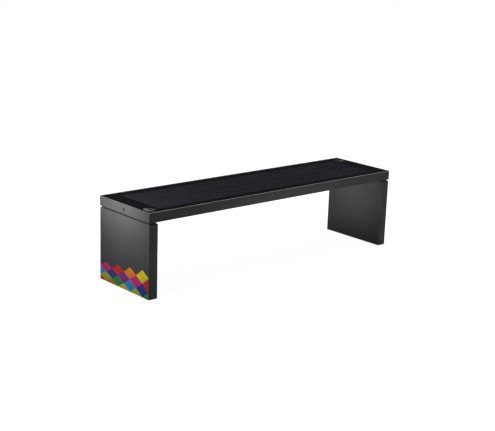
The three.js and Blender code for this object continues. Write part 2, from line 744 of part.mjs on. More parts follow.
const batteryLeadShares = [
  [0, 0, 0.53],
  [0.085, 0, 0.53],
  [0.19, 0.1, 0.2],
  [0.35, 0.4, 0.03],
  [0.54, 0.8, 0.03],
  [0.8, 0.97, 0.2],
  [0.91, 1, 0.74],
  [0.96, 1, 1],
  [1, 1, 1],
];
const supplyLeadShares = [
  [0, 0, 0],
  [0.23, 0, 0],
  [0.47, 0.6, 0.43],
  [0.69, 1, 1],
  [1, 1, 1],
];
const hingeLeadRiseShares = [
  [0, 0, 0],
  [0.072, 0, 0],
  [0.162, 0.134, -0.053],
  [0.2, 0.5, -0.053],
  [0.238, 0.836, 0.107],
  [0.343, 0.978, 0.56],
  [0.69, 1, 0.893],
];
const hingeLeadGlandShares = [
  [0, 0, 0],
  [0.397, 0.08, 0],
  [0.602, 0.47, 0.82],
  [0.723, 0.812, 1],
  [0.867, 1, 1],
  [1, 1, 1],
];
const frontSweepShares = [
  [0, 0, 0],
  [0.11, 0, 0],
  [0.25, 0.054, 0.364],
  [0.32, 0.212, 1],
  [0.344, 0.674, 1],
  [0.4, 0.867, 1],
  [0.53, 0.965, 1],
  [0.734, 0.998, 1],
];
const frontRunShares = [
  [0, 0, 0],
  [0.107, 0, 0],
  [0.302, 0, 0],
  [0.524, 0, 0],
  [0.747, 0, 0],
  [0.924, 0, 0],
];
const rearSweepShares = [
  [0, 0, 0],
  [0.075, 0, 0],
  [0.171, 0.156, 0.31],
  [0.249, 0.67, 0.85],
  [0.37, 0.978, 0.85],
  [0.637, 1, 0.85],
];
const cupRiseShares = [
  [0, 0, 0],
  [0.35, 0, 0.04],
  [0.632, 0.517, 0.52],
  [0.797, 0.897, 0.92],
  [1, 1, 1],
];

// The leads, each clipped along the frame that carries it
function buildLeads() {
  const tray = new THREE.Group();
  const lid = new THREE.Group();
  const addLead = (group, name, points, radius, steps) =>
    group.add(piece(name, lead(points, radius, steps), finish.rubber()));
  const caseZ = trayFloor + heatSinkHeight + controllerHeight / 2;
  const controllerFace = controllerLength / 2 - caseSetIn + fitGap;
  const batteryEnd = batteryPlace + batteryLength / 2 + fitGap;
  const batteryStart = [batteryEnd, batteryLeadPlace, trayFloor + thickLeadRadius + fitGap];
  const batteryInlet = [controllerPlace - controllerFace, 0, caseZ];
  const batteryRoute = route(batteryStart, batteryInlet, batteryLeadShares);
  addLead(tray, "battery_lead", batteryRoute, thickLeadRadius, batteryLeadSteps);

  const terminalFace = terminalLength / 2 + fitGap;
  const shelfZ = trayFloor + (terminalHeight - terminalStep) / 2;
  const supplyOutlet = [controllerPlace + controllerFace, 0, caseZ];
  const supplyEnd = [terminalPlace - terminalFace, supplyLeadPlace, shelfZ];
  const supplyRoute = route(supplyOutlet, supplyEnd, supplyLeadShares);
  addLead(tray, "supply_lead", supplyRoute, leadRadius, supplyLeadSteps);

  const lidLeadZ = skirtBottom - leadRadius - fitGap;
  const frontLeadY = flangeInnerFront + leadRadius;
  const rearLeadY = flangeInnerRear - leadRadius;
  const glands = junctionGlands.map(({ end, y }) =>
    [junctionPlaceX + end * (junctionLength / 2 + glandLength + fitGap), y, junctionLeadZ]);
  const [chargerGland, hingeGland, rightGland] = glands;

  const hingeStart = [terminalPlace + terminalFace, 0, shelfZ];
  const hingeRise = [hingeGland[0] - hingeLeadSweep, rearLeadY, lidLeadZ];
  addLead(tray, "hinge_lead", [
    ...route(hingeStart, hingeRise, hingeLeadRiseShares),
    ...route(hingeRise, hingeGland, hingeLeadGlandShares),
  ], leadRadius, hingeLeadSteps);

  const crossbarLeadZ = lidLeadZ - crossbarLeadDip;
  const cup = (side) => [
    side * (halfLength - chargerEndInset - chargerRadius - fitGap - fitGap),
    side * (halfDepth - chargerSideInset),
    glassBottom - fitGap - chargerHeight / 2,
  ];
  const frontCorner = [chargerGland[0] - frontLeadSweep, frontLeadY, lidLeadZ];
  const frontCrossbar = [-crossbarOuterPlace, frontLeadY, crossbarLeadZ];
  addLead(lid, "left_charger_lead", [
    ...route(chargerGland, frontCorner, frontSweepShares),
    ...route(frontCorner, frontCrossbar, frontRunShares),
    ...route(frontCrossbar, cup(-1), cupRiseShares),
  ], leadRadius, leftLeadSteps);

  const rearCrossbar = [crossbarOuterPlace, rearLeadY, crossbarLeadZ];
  addLead(lid, "right_charger_lead", [
    ...route(rightGland, rearCrossbar, rearSweepShares),
    ...route(rearCrossbar, cup(1), cupRiseShares),
  ], leadRadius, rightLeadSteps);
  return { tray, lid };
}

const bench = new THREE.Group();
const hinge = buildHinge();
const leads = buildLeads();
bench.add(buildTray(), hinge.tray, buildBattery(), buildController(), leads.tray);
const lid = new THREE.Group();
lid.add(buildLid(), hinge.lid, leads.lid);
bench.add(lid);
for (const side of bothSides) {
  const lock = buildLock(side);
  const strut = buildStrut(side);
  bench.add(buildLeg(side), lock.fixed, lock.turning, strut.tray);
  lid.add(strut.cylinder, strut.rod);
}

export default bench;
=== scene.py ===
import math

import bpy
from mathutils import Matrix, Vector


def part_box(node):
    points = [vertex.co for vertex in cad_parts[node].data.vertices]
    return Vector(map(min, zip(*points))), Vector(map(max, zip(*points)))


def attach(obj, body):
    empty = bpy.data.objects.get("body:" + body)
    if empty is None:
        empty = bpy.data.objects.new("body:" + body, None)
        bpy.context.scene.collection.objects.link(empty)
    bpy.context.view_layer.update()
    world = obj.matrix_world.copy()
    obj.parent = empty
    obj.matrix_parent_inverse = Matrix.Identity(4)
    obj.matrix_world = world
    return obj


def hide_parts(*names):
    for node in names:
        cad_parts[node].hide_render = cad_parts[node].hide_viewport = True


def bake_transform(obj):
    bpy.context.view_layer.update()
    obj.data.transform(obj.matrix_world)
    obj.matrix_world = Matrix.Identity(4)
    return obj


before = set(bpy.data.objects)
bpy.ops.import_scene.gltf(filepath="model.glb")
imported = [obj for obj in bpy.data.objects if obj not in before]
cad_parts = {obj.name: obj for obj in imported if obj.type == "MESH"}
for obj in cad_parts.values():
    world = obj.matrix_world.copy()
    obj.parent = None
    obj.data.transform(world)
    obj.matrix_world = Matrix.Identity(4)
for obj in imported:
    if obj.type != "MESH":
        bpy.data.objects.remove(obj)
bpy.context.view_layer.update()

# The camera: it stands in front of the bench's left end, 1.9 m up and 6.1 m away, and looks
# along the seat through a long lens, with its horizon a little off level.
heading, pitch, roll = math.radians(-41.54), math.radians(14.98), math.radians(1.98)
ahead = Vector((
    -math.sin(heading) * math.cos(pitch),
    math.cos(heading) * math.cos(pitch),
    -math.sin(pitch),
))
level = Vector((math.cos(heading), math.sin(heading), 0))
upright = level.cross(ahead)
right = level * math.cos(roll) + upright * math.sin(roll)
top = upright * math.cos(roll) - level * math.sin(roll)
bpy.ops.object.camera_add()
camera = bpy.context.object
camera.data.sensor_width = 36
camera.data.lens = 80.07
camera.matrix_world = Matrix.Translation((-4.081, -4.559, 1.904)) @ Matrix(
    (right, top, -ahead)
).transposed().to_4x4()
bpy.context.scene.camera = camera
bpy.context.scene.view_settings.view_transform = "Standard"


# The studio: a pale floor that shows white, a white surround, a wide lamp overhead, one above the
# bench's left end, a weak one in front and a narrow beam from low on the left under the seat.
class Wire:
    """An output in a material's node tree. Sums of wires and numbers add Math nodes."""

    def __init__(self, output):
        self.output = output
        self.tree = output.id_data

    def node(self, kind, settings, inputs, out=0):
        """Adds one node: its settings first, then the values or wires of its inputs."""
        made = self.tree.nodes.new(kind)
        for name, value in settings.items():
            if name == "stops":
                stops = made.color_ramp.elements
                for _ in value[2:]:
                    stops.new(1.0)
                for stop, (place, colour) in zip(stops, value):
                    stop.position = place
                    stop.color = (*colour, 1)
            else:
                setattr(made, name, value)
        for name, value in inputs.items():
            if isinstance(value, Wire):
                self.tree.links.new(value.output, made.inputs[name])
            else:
                made.inputs[name].default_value = value
        return Wire(made.outputs[out])

    def maths(self, operation, *values):
        return self.node("ShaderNodeMath", {"operation": operation}, dict(enumerate(values)))

    def __add__(self, other):
        return self.maths("ADD", self, other)

    def __radd__(self, other):
        return self.maths("ADD", other, self)

    def __sub__(self, other):
        return self.maths("SUBTRACT", self, other)

    def __rsub__(self, other):
        return self.maths("SUBTRACT", other, self)

    def __mul__(self, other):
        return self.maths("MULTIPLY", self, other)

    def __rmul__(self, other):
        return self.maths("MULTIPLY", other, self)

    def to(self, shader, socket):
        self.tree.links.new(self.output, shader.inputs[socket])


def seen_directly(tree):
    """1 for what the camera, a mirror or a pane of glass shows, 0 for light on the way."""
    path = tree.nodes.new("ShaderNodeLightPath")
    camera_ray = Wire(path.outputs["Is Camera Ray"])
    glossy_ray = Wire(path.outputs["Is Glossy Ray"])
    glass_ray = Wire(path.outputs["Is Transmission Ray"])
    return camera_ray.maths("MAXIMUM", camera_ray, glossy_ray.maths("MAXIMUM", glossy_ray, glass_ray))


world = bpy.context.scene.world or bpy.data.worlds.new("studio")
bpy.context.scene.world = world
world.use_nodes = True
surround = world.node_tree.nodes["Background"]
surround.inputs["Color"].default_value = (1, 1, 1, 1)
room_light = 0.165
seen = seen_directly(world.node_tree)
(seen + room_light * (1 - seen)).to(surround, "Strength")

bpy.ops.object.select_all(action="DESELECT")
bpy.ops.mesh.primitive_plane_add(size=60, location=(0, 0, -0.0005))
floor = bpy.context.object
floor.name = "studio_floor"
floor_paint = bpy.data.materials.new("studio_floor_paint")
floor_paint.use_nodes = True
floor_shader = floor_paint.node_tree.nodes["Principled BSDF"]
for socket, value in (
    ("Base Color", (0.4, 0.4, 0.4, 1)), ("Roughness", 1), ("Specular IOR Level", 0),
    ("Emission Color", (1, 1, 1, 1)),
):
    floor_shader.inputs[socket].default_value = value
floor_glow = 0.935
(floor_glow * seen_directly(floor_paint.node_tree)).to(floor_shader, "Emission Strength")
floor.data.materials.append(floor_paint)


def lamp(name, place, target, size, power, spread=180):
    """A soft rectangular lamp that faces its target. A small spread makes a narrow beam."""
    bpy.ops.object.light_add(type="AREA", location=place)
    made = bpy.context.object
    made.name = name
    made.rotation_euler = (Vector(target) - Vector(place)).to_track_quat("-Z", "Y").to_euler()
    made.data.shape = "RECTANGLE"
    made.data.size, made.data.size_y = size
    made.data.energy = power
    made.data.spread = math.radians(spread)


lamp("left_lamp", (-1.3, 0.12, 0.72), (-0.9, 0.03, 0.5), (0.4, 0.3), 2.0, 58)
lamp("low_lamp", (-2.5, -1.0, 0.08), (0.84, 0.02, 0.35), (0.3, 0.1), 0.67, 12)
lamp("ceiling_lamp", (0.0, 0.3, 3.2), (0.0, 0.0, 0.46), (4.0, 1.6), 88)
lamp("front_lamp", (0.0, -3.0, 0.9), (0.0, 0.0, 0.44), (2.0, 0.4), 4.5, 100)


# Legs: each is a slab of 3 mm sheet steel, folded into a box open at its top and foot, welded
# and powder coated anthracite. A head plate with weld nuts and a foot plate are welded inside,
# and a spacer stands on the head plate, both matt black so that the joint stays dark.
def material(name, constants):
    """A new material with the constants of its shader set, and a wire of the place on the piece."""
    made = bpy.data.materials.new(name)
    made.use_nodes = True
    shader = made.node_tree.nodes["Principled BSDF"]
    for socket, value in constants.items():
        shader.inputs[socket].default_value = value
    place = made.node_tree.nodes.new("ShaderNodeTexCoord")
    return made, shader, Wire(place.outputs["Object"])


def coordinate(place, axis):
    """How far along X, Y or Z a place lies."""
    return place.node("ShaderNodeSeparateXYZ", {}, {"Vector": place}, axis)


def mixed(factor, first, second, blend="MIX"):
    """The first colour at factor 0, and the second, or its blend with the first, at 1."""
    settings = {"data_type": "RGBA", "blend_type": blend}
    return first.node("ShaderNodeMix", settings, {0: factor, 6: first, 7: second}, 2)


def noise(place, scale, detail=2.0):
    inputs = {"Vector": place, "Scale": scale, "Detail": detail}
    return place.node("ShaderNodeTexNoise", {}, inputs)


def shaded(factor, *colours):
    """Runs evenly through the colours as the factor goes from 0.3 to 0.7."""
    places = [0.3 + 0.4 * i / (len(colours) - 1) for i in range(len(colours))]
    return factor.node("ShaderNodeValToRGB", {"stops": list(zip(places, colours))}, {"Fac": factor})


def bumped(height, distance):
    return height.node("ShaderNodeBump", {}, {"Height": height, "Distance": distance})


def skinned(shader, place, colours, rough, grain, depth):
    """Gives a shader soft clouds of roughness and a fine grain. Returns the colour and the clouds."""
    cloud = noise(place, 9.0, 3.0)
    speck = noise(place, grain, 1.0)
    (rough[0] + (rough[1] - rough[0]) * cloud).to(shader, "Roughness")
    bumped(speck, depth).to(shader, "Normal")
    return shaded(0.75 * cloud + 0.25 * speck, *colours), cloud


def grained(name, colours, rough, grain, depth, constants):
    """A coat or moulded skin: soft clouds of near colours over a fine grain."""
    made, shader, place = material(name, constants)
    skinned(shader, place, colours, rough, grain, depth)[0].to(shader, "Base Color")
    return made


anthracite = ((0.043, 0.0435, 0.0455), (0.048, 0.0485, 0.0505), (0.053, 0.0535, 0.0555))
coat_skin = ((0.4, 0.52), 620.0, 0.00025)
coat_sheen = {"Specular IOR Level": 0.07}
powder_coat = grained("anthracite_powder_coat", anthracite, *coat_skin, coat_sheen)
matt_coat = grained(
    "matt_black_coat",
    ((0.018, 0.018, 0.0185), (0.023, 0.023, 0.0235), (0.028, 0.028, 0.0285)),
    (0.6, 0.75), 480.0, 0.0002, {"Specular IOR Level": 0.05},
)


def plated(name, colours, rough, stretch):
    """A plated or drawn metal: bright, with fine streaks along the axis that isn't stretched."""
    made, shader, place = material(name, {"Metallic": 1.0})
    drawn = place.node("ShaderNodeMapping", {}, {"Vector": place, "Scale": stretch})
    streak = noise(drawn, 1.0, 4.0)
    patch = noise(place, 35.0, 2.0)
    shaded(0.5 * streak + 0.5 * patch, *colours).to(shader, "Base Color")
    (rough[0] + (rough[1] - rough[0]) * streak).to(shader, "Roughness")
    bumped(streak, 0.00006).to(shader, "Normal")
    return made


zinc = plated(
    "zinc_plate",
    ((0.36, 0.37, 0.385), (0.47, 0.48, 0.49), (0.58, 0.585, 0.58)),
    (0.3, 0.5), (260.0, 900.0, 900.0),
)


def open_alone(piece):
    """Makes a piece the only one selected, and the active one."""
    if bpy.context.mode != "OBJECT":
        bpy.ops.object.mode_set(mode="OBJECT")
    bpy.ops.object.select_all(action="DESELECT")
    piece.select_set(True)
    bpy.context.view_layer.objects.active = piece


def pick(piece, kind, test):
    """Opens a piece in edit mode with only those faces or edges selected that pass the test."""
    open_alone(piece)
    bpy.ops.object.mode_set(mode="EDIT")
    bpy.ops.mesh.select_mode(type=kind)
    bpy.ops.mesh.select_all(action="DESELECT")
    bpy.ops.object.mode_set(mode="OBJECT")
    corners = piece.data.vertices
    if kind == "FACE":
        for face in piece.data.polygons:
            face.select = test(face.center, face.normal)
    else:
        for edge in piece.data.edges:
            edge.select = test(*(corners[i].co for i in edge.vertices))
    bpy.ops.object.mode_set(mode="EDIT")


def round_uprights(piece, width, steps):
    """Rounds the upright edges of a block."""
    pick(piece, "EDGE", lambda a, b: (a - b).xy.length < 0.000001)
    bpy.ops.mesh.bevel(offset=width, segments=steps, affect="EDGES")
    bpy.ops.object.mode_set(mode="OBJECT")


def sunk(piece, rim, depth):
    """Sinks the top face of a block, all but a rim."""
    pick(piece, "FACE", lambda centre, normal: normal.z > 0.9)
    bpy.ops.mesh.inset(thickness=rim)
    bpy.ops.mesh.extrude_region_move(TRANSFORM_OT_translate={"value": (0, 0, -depth)})
    bpy.ops.object.mode_set(mode="OBJECT")


def block(name, low, high):
    """A block between two opposite corners."""
    bpy.ops.object.select_all(action="DESELECT")
    low, high = Vector(low), Vector(high)
    bpy.ops.mesh.primitive_cube_add(size=1, location=(low + high) / 2)
    piece = bpy.context.object
    piece.name = piece.data.name = name
    piece.scale = high - low
    bpy.ops.object.transform_apply(location=True, rotation=True, scale=True)
    return piece


def smoothed(piece):
    """Shades a piece so that its rounds look smooth and its flat faces flat."""
    open_alone(piece)
    bpy.ops.object.shade_smooth_by_angle(angle=math.radians(42))
    piece.modifiers.new("shading", "WEIGHTED_NORMAL").keep_sharp = True
    bpy.ops.object.modifier_apply(modifier="shading")
    return piece


def rounded(piece, width, steps=3):
    """Rounds the sharp edges of a piece and shades it."""
    open_alone(piece)
    rounding = piece.modifiers.new("rounding", "BEVEL")
    rounding.width, rounding.segments = width, steps
    rounding.limit_method, rounding.angle_limit = "ANGLE", math.radians(35)
    bpy.ops.object.modifier_apply(modifier="rounding")
    return smoothed(piece)


def copied(node, name, width, steps=2):
    """A copy of a CAD node, merged and with rounded edges."""
    piece = bpy.data.objects.new(name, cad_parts[node].data.copy())
    bpy.context.scene.collection.objects.link(piece)
    piece.data.materials.clear()
    open_alone(piece)
    bpy.ops.mesh.customdata_custom_splitnormals_clear()
    bpy.ops.object.mode_set(mode="EDIT")
    bpy.ops.mesh.select_all(action="SELECT")
    bpy.ops.mesh.remove_doubles(threshold=0.00001)
    bpy.ops.mesh.dissolve_limited(angle_limit=math.radians(1))
    bpy.ops.object.mode_set(mode="OBJECT")
    return rounded(piece, width, steps)


def fitted(piece, body, finish, slot, *nodes):
    """Gives a finished piece its material and its body, in place of the CAD nodes named."""
    piece.data.materials.clear()
    piece.data.materials.append(finish)
    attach(piece, body)
    if nodes:
        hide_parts(*nodes)


sheet = 0.003
for side in ("left", "right"):
    low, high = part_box(f"{side}_leg_shell")
    shell = block(f"{side}_leg_slab", low, high)
    round_uprights(shell, sheet, 5)
    pick(shell, "FACE", lambda centre, normal: abs(normal.z) > 0.9)
    bpy.ops.mesh.delete(type="FACE")
    bpy.ops.object.mode_set(mode="OBJECT")
    wall = shell.modifiers.new("wall", "SOLIDIFY")
    wall.thickness, wall.offset = sheet, -1
    bpy.ops.object.modifier_apply(modifier="wall")
    rounded(shell, 0.0004)
    fitted(shell, "bench", powder_coat, "shell_paint", f"{side}_leg_shell")
    for part, name, finish, slot in (
        ("head_plate", "head_plate", matt_coat, "frame_paint"),
        ("spacer", "shadow_spacer", matt_coat, "frame_paint"),
        ("base_plate", "base_plate", zinc, "zinc_steel"),
    ):
        piece = copied(f"{side}_leg_{part}", f"{side}_{name}", 0.0005)
        fitted(piece, "bench", finish, slot, f"{side}_leg_{part}")


# Bolts: four socket bolts with low heads hold each leg. They go down through the tray floor and
# the spacer into the weld nuts. Rolled thread, zinc plated.
def turned(name, profile, axis="z", place=(0, 0, 0), sides=40, hollow=False):
    """A round piece: a disc or, if hollow, a hoop, extruded from one (level, radius) to the next."""
    bpy.ops.object.select_all(action="DESELECT")
    level, radius = profile[0]
    fill = "NOTHING" if hollow else "NGON"
    bpy.ops.mesh.primitive_circle_add(vertices=sides, radius=radius, fill_type=fill)
    piece = bpy.context.object
    piece.name = piece.data.name = name
    bpy.ops.object.mode_set(mode="EDIT")
    bpy.ops.mesh.select_all(action="SELECT")
    bpy.ops.transform.translate(value=(0, 0, level))
    for next_level, next_radius in profile[1:]:
        bpy.ops.mesh.extrude_region_move(
            TRANSFORM_OT_translate={"value": (0, 0, next_level - level)}
        )
        grow = next_radius / radius
        bpy.ops.transform.resize(value=(grow, grow, 1))
        level, radius = next_level, next_radius
    bpy.ops.mesh.select_all(action="SELECT")
    bpy.ops.mesh.remove_doubles(threshold=0.000001)
    bpy.ops.mesh.normals_make_consistent(inside=False)
    bpy.ops.object.mode_set(mode="OBJECT")
    quarter = math.pi / 2
    piece.rotation_euler = {"x": (0, quarter, 0), "y": (-quarter, 0, 0), "z": (0, 0, 0)}[axis]
    piece.location = place
    bpy.ops.object.transform_apply(location=True, rotation=True, scale=True)
    bpy.ops.object.shade_smooth_by_angle(angle=math.radians(42))
    return piece


def carved(piece, *cutters):
    """Cuts the cutters out of a piece and takes them away."""
    open_alone(piece)
    for cutter in cutters:
        cut = piece.modifiers.new("cut", "BOOLEAN")
        cut.operation, cut.object = "DIFFERENCE", cutter
        bpy.ops.object.modifier_apply(modifier="cut")
        bpy.data.objects.remove(cutter)
    return piece


def joined(name, *pieces):
    """Makes several meshes one piece."""
    open_alone(pieces[0])
    for piece in pieces[1:]:
        piece.select_set(True)
    bpy.ops.object.join()
    pieces[0].name = pieces[0].data.name = name
    return pieces[0]


def doubled(piece, name, move):
    """A copy of a piece with its own mesh, moved."""
    copy = bpy.data.objects.new(name, piece.data.copy())
    bpy.context.scene.collection.objects.link(copy)
    copy.data.transform(Matrix.Translation(move))
    return copy


low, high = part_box("left_leg_bolt_1")
head_level, tip_level = high.z, low.z
thread = []
for turn in range(14):
    rise = tip_level + 0.001 + turn * 0.00125
    thread += [(rise, 0.00345), (rise + 0.0004, 0.004), (rise + 0.0007, 0.004)]
bolt = turned("leg_bolt", [
    (tip_level, 0.003),
    *thread,
    (head_level - 0.004, 0.004),
    (head_level - 0.004, 0.0063),
    (head_level - 0.0037, 0.0065),
    (head_level - 0.0006, 0.0065),
    (head_level - 0.0001, 0.0061),
    (head_level, 0.0058),
])
socket = turned("hex_socket", [(head_level - 0.0025, 0.0029), (head_level + 0.002, 0.0029)], sides=6)
carved(bolt, socket)
for side in ("left", "right"):
    for number in range(1, 5):
        low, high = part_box(f"{side}_leg_bolt_{number}")
        middle = (low + high) / 2
        piece = doubled(bolt, f"{side}_leg_bolt_head_{number}", (middle.x, middle.y, 0))
        fitted(piece, "bench", zinc, "zinc_steel", f"{side}_leg_bolt_{number}")
bpy.data.objects.remove(bolt)


# Printed film: a harlequin of bright diamonds on vinyl, each in four tones, stuck low on
# the legs' outer faces. Its zigzag top rises from 100 mm at the rear to 155 mm at the front.
film, film_shader, film_place = material(
    "printed_film", {"Roughness": 0.36, "Specular IOR Level": 0.1}
)
ink = film_place.node(
    "ShaderNodeAttribute", {"attribute_name": "ink", "attribute_type": "GEOMETRY"}, {}, "Color"
)
fading = shaded(noise(film_place, 60.0), (0.8, 0.8, 0.8), (1, 1, 1))
mixed(0.2, ink, fading, "MULTIPLY").to(film_shader, "Base Color")
bumped(noise(film_place, 620.0, 1.0), 0.00008).to(film_shader, "Normal")

inks = (
    (0.74, 0.006, 0.016), (0.92, 0.27, 0.008), (0.93, 0.78, 0.012), (0.6, 0.74, 0.012),
    (0.004, 0.34, 0.055), (0.01, 0.38, 0.85), (0.016, 0.03, 0.32), (0.28, 0.014, 0.32),
    (0.84, 0.008, 0.26),
)
tones = (1.0, 0.93, 0.84, 0.96)
columns, rows = 8, 4
film_width, rear_height, front_height = 0.442, 0.1, 0.155
film_foot, film_sheet = 0.0015, 0.0001
for side, sign in (("left", -1), ("right", 1)):
    low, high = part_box(f"{side}_leg_shell")
    face_x = (low.x if sign < 0 else high.x) + sign * film_sheet
    bpy.ops.object.select_all(action="DESELECT")
    bpy.ops.mesh.primitive_grid_add(x_subdivisions=columns, y_subdivisions=rows, size=1)
    print_piece = bpy.context.object
    print_piece.name = print_piece.data.name = f"{side}_leg_print"
    for corner in print_piece.data.vertices:
        corner.co = ((corner.co.x + 0.5) * columns, (corner.co.y + 0.5) * rows, 0)
    for odd, method in ((0, "FIXED_ALTERNATE"), (1, "FIXED")):
        pick(print_piece, "FACE", lambda centre, normal: int(centre.x) + int(centre.y) & 1 == odd)
        bpy.ops.mesh.quads_convert_to_tris(quad_method=method)
    pick(print_piece, "FACE", lambda centre, normal: round(centre.y) == rows)
    bpy.ops.mesh.delete(type="FACE")
    bpy.ops.object.mode_set(mode="OBJECT")
    colours = print_piece.data.attributes.new("ink", "FLOAT_COLOR", "CORNER")
    for facet in print_piece.data.polygons:
        column, row = round(facet.center.x), round(facet.center.y)
        tone = tones[2 * (facet.center.x > column) + (facet.center.y > row)]
        hue = inks[((column + row) // 2 + 2 * row) % len(inks)]
        for corner in facet.loop_indices:
            colours.data[corner].color = (*(tone * share for share in hue), 1)
    for corner in print_piece.data.vertices:
        along, up = corner.co.x / columns, corner.co.y / rows
        height = rear_height + (front_height - rear_height) * along
        corner.co = (face_x, film_width * (0.5 - along), film_foot + up * height)
    skin = print_piece.modifiers.new("skin", "SOLIDIFY")
    skin.thickness, skin.offset = film_sheet, 0
    open_alone(print_piece)
    bpy.ops.object.modifier_apply(modifier="skin")
    pick(print_piece, "FACE", lambda centre, normal: True)
    bpy.ops.mesh.normals_make_consistent(inside=False)
    bpy.ops.object.mode_set(mode="OBJECT")
    fitted(print_piece, "bench", film, "leg_print")


# Seat tray: one folded and welded tray of 3 mm sheet, powder coated like the legs, with a painted
# highlight: a pale line along the top of its long rims. Its floor has bolt, drain and vent holes, and
# each end wall a hole for a lock.
low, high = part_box("seat_tray")
# The tray's coat carries a painted highlight: the top edge of its front and rear walls is pale in the
# base colour.
rim_highlight_coat, coat_shader, coat_place = material("powder_coat_painted_rim_highlight", coat_sheen)
coat, cloud = skinned(coat_shader, coat_place, anthracite, *coat_skin)
height = coordinate(coat_place, "Z")
highlight_top_mask = height.node("ShaderNodeMapRange", {"interpolation_type": "SMOOTHSTEP"}, {
    "Value": height + 0.0012 * cloud, "From Min": high.z - 0.0014, "From Max": high.z + 0.0002,
})
across = coordinate(coat_place, "Y")
highlight_long_rim_mask = across.node("ShaderNodeMapRange", {"interpolation_type": "SMOOTHSTEP"}, {
    "Value": across.maths("ABSOLUTE", across), "From Min": high.y - 0.005, "From Max": high.y - 0.003,
})
# The pale colour of the painted highlight, mixed into the coat where the two masks above meet.
painted_highlight_pale = (0.26, 0.263, 0.27, 1)
mixed(highlight_top_mask * highlight_long_rim_mask, coat, painted_highlight_pale).to(coat_shader, "Base Color")
corner_fold, floor_fold, rim_round = 0.0042, 0.0022, 0.0015
tray = block("seat_tray_folded", low, high)
round_uprights(tray, corner_fold, 5)
pick(tray, "EDGE", lambda a, b: max(a.z, b.z) < low.z + 0.0001)
bpy.ops.mesh.bevel(offset=floor_fold, segments=4, affect="EDGES")
sunk(tray, sheet, high.z - low.z - sheet)
# The outer edge all round the top, corner folds included, and not the inner one.
pick(tray, "EDGE", lambda a, b: all(
    point.z > high.z - 0.0001
    and math.hypot(
        max(abs(point.x) - high.x + corner_fold, 0), max(abs(point.y) - high.y + corner_fold, 0)
    ) > corner_fold - 0.0002
    for point in (a, b)
))
bpy.ops.mesh.bevel(offset=rim_round, segments=4, affect="EDGES")
bpy.ops.object.mode_set(mode="OBJECT")
rounded(tray, 0.0006)
# The faces are divided beside the holes, so that no long sliver of a facet runs to a hole.
for x in (-0.78, -0.06, 0.06, 0.78):
    pick(tray, "FACE", lambda centre, normal: True)
    bpy.ops.mesh.bisect(plane_co=(x, 0, 0), plane_no=(1, 0, 0))
bpy.ops.object.mode_set(mode="OBJECT")
bolt_hole, drain_hole, lock_hole, lock_recess, vent_pitch = 0.0045, 0.004, 0.0058, 0.0072, 0.011
cutters = []
bottom, top = low.z - 0.002, low.z + sheet + 0.002
for side in ("left", "right"):
    for number in range(1, 5):
        first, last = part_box(f"{side}_leg_bolt_{number}")
        middle = (first + last) / 2
        cutters.append(turned("hole", [(bottom, bolt_hole), (top, bolt_hole)], "z",
                              (middle.x, middle.y, 0), 24))
    first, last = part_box(f"{side}_lock_housing")
    middle = (first + last) / 2
    cutters.append(turned("hole", [(-0.02, lock_hole), (0.02, lock_hole)], "x", middle, 40))
    face = (low.x if side == "left" else high.x, middle.y, middle.z)
    cutters.append(turned("recess", [(-0.0009, lock_recess), (0.0009, lock_recess)], "x", face, 40))
for x in (low.x + 0.09, high.x - 0.09):
    for y in (low.y + 0.05, high.y - 0.05):
        cutters.append(turned("hole", [(bottom, drain_hole), (top, drain_hole)], "z", (x, y, 0), 24))
for slot in range(5):
    y = -0.1 + vent_pitch * (slot - 2)
    vent = block("slot", (-0.03, y - 0.002, bottom), (0.03, y + 0.002, top))
    round_uprights(vent, 0.0019, 4)
    cutters.append(vent)
smoothed(carved(tray, *cutters))
fitted(tray, "bench", rim_highlight_coat, "shell_paint", "seat_tray")


# Rails: square steel tubes stiffen the tray along its walls and carry the seal. The end ones are
# notched for the lock. Matt black primer.
for rail in ("front_rail", "rear_rail", "left_end_rail", "right_end_rail"):
    fitted(copied(rail, f"{rail}_tube", 0.0016, 4), "bench", matt_coat, "frame_paint", rail)


# Lid seal: one run of black sponge rubber, D shaped, glued on top of the rails. The shut lid
# presses on it.
rubber = grained(
    "sponge_rubber",
    ((0.0055, 0.0055, 0.0055), (0.0075, 0.0075, 0.0075), (0.01, 0.01, 0.01)),
    (0.75, 0.9), 1400.0, 0.0002, {"Specular IOR Level": 0.04},
)
fitted(copied("lid_seal", "lid_seal_bulb", 0.0026, 5), "bench", rubber, "seal_rubber", "lid_seal")


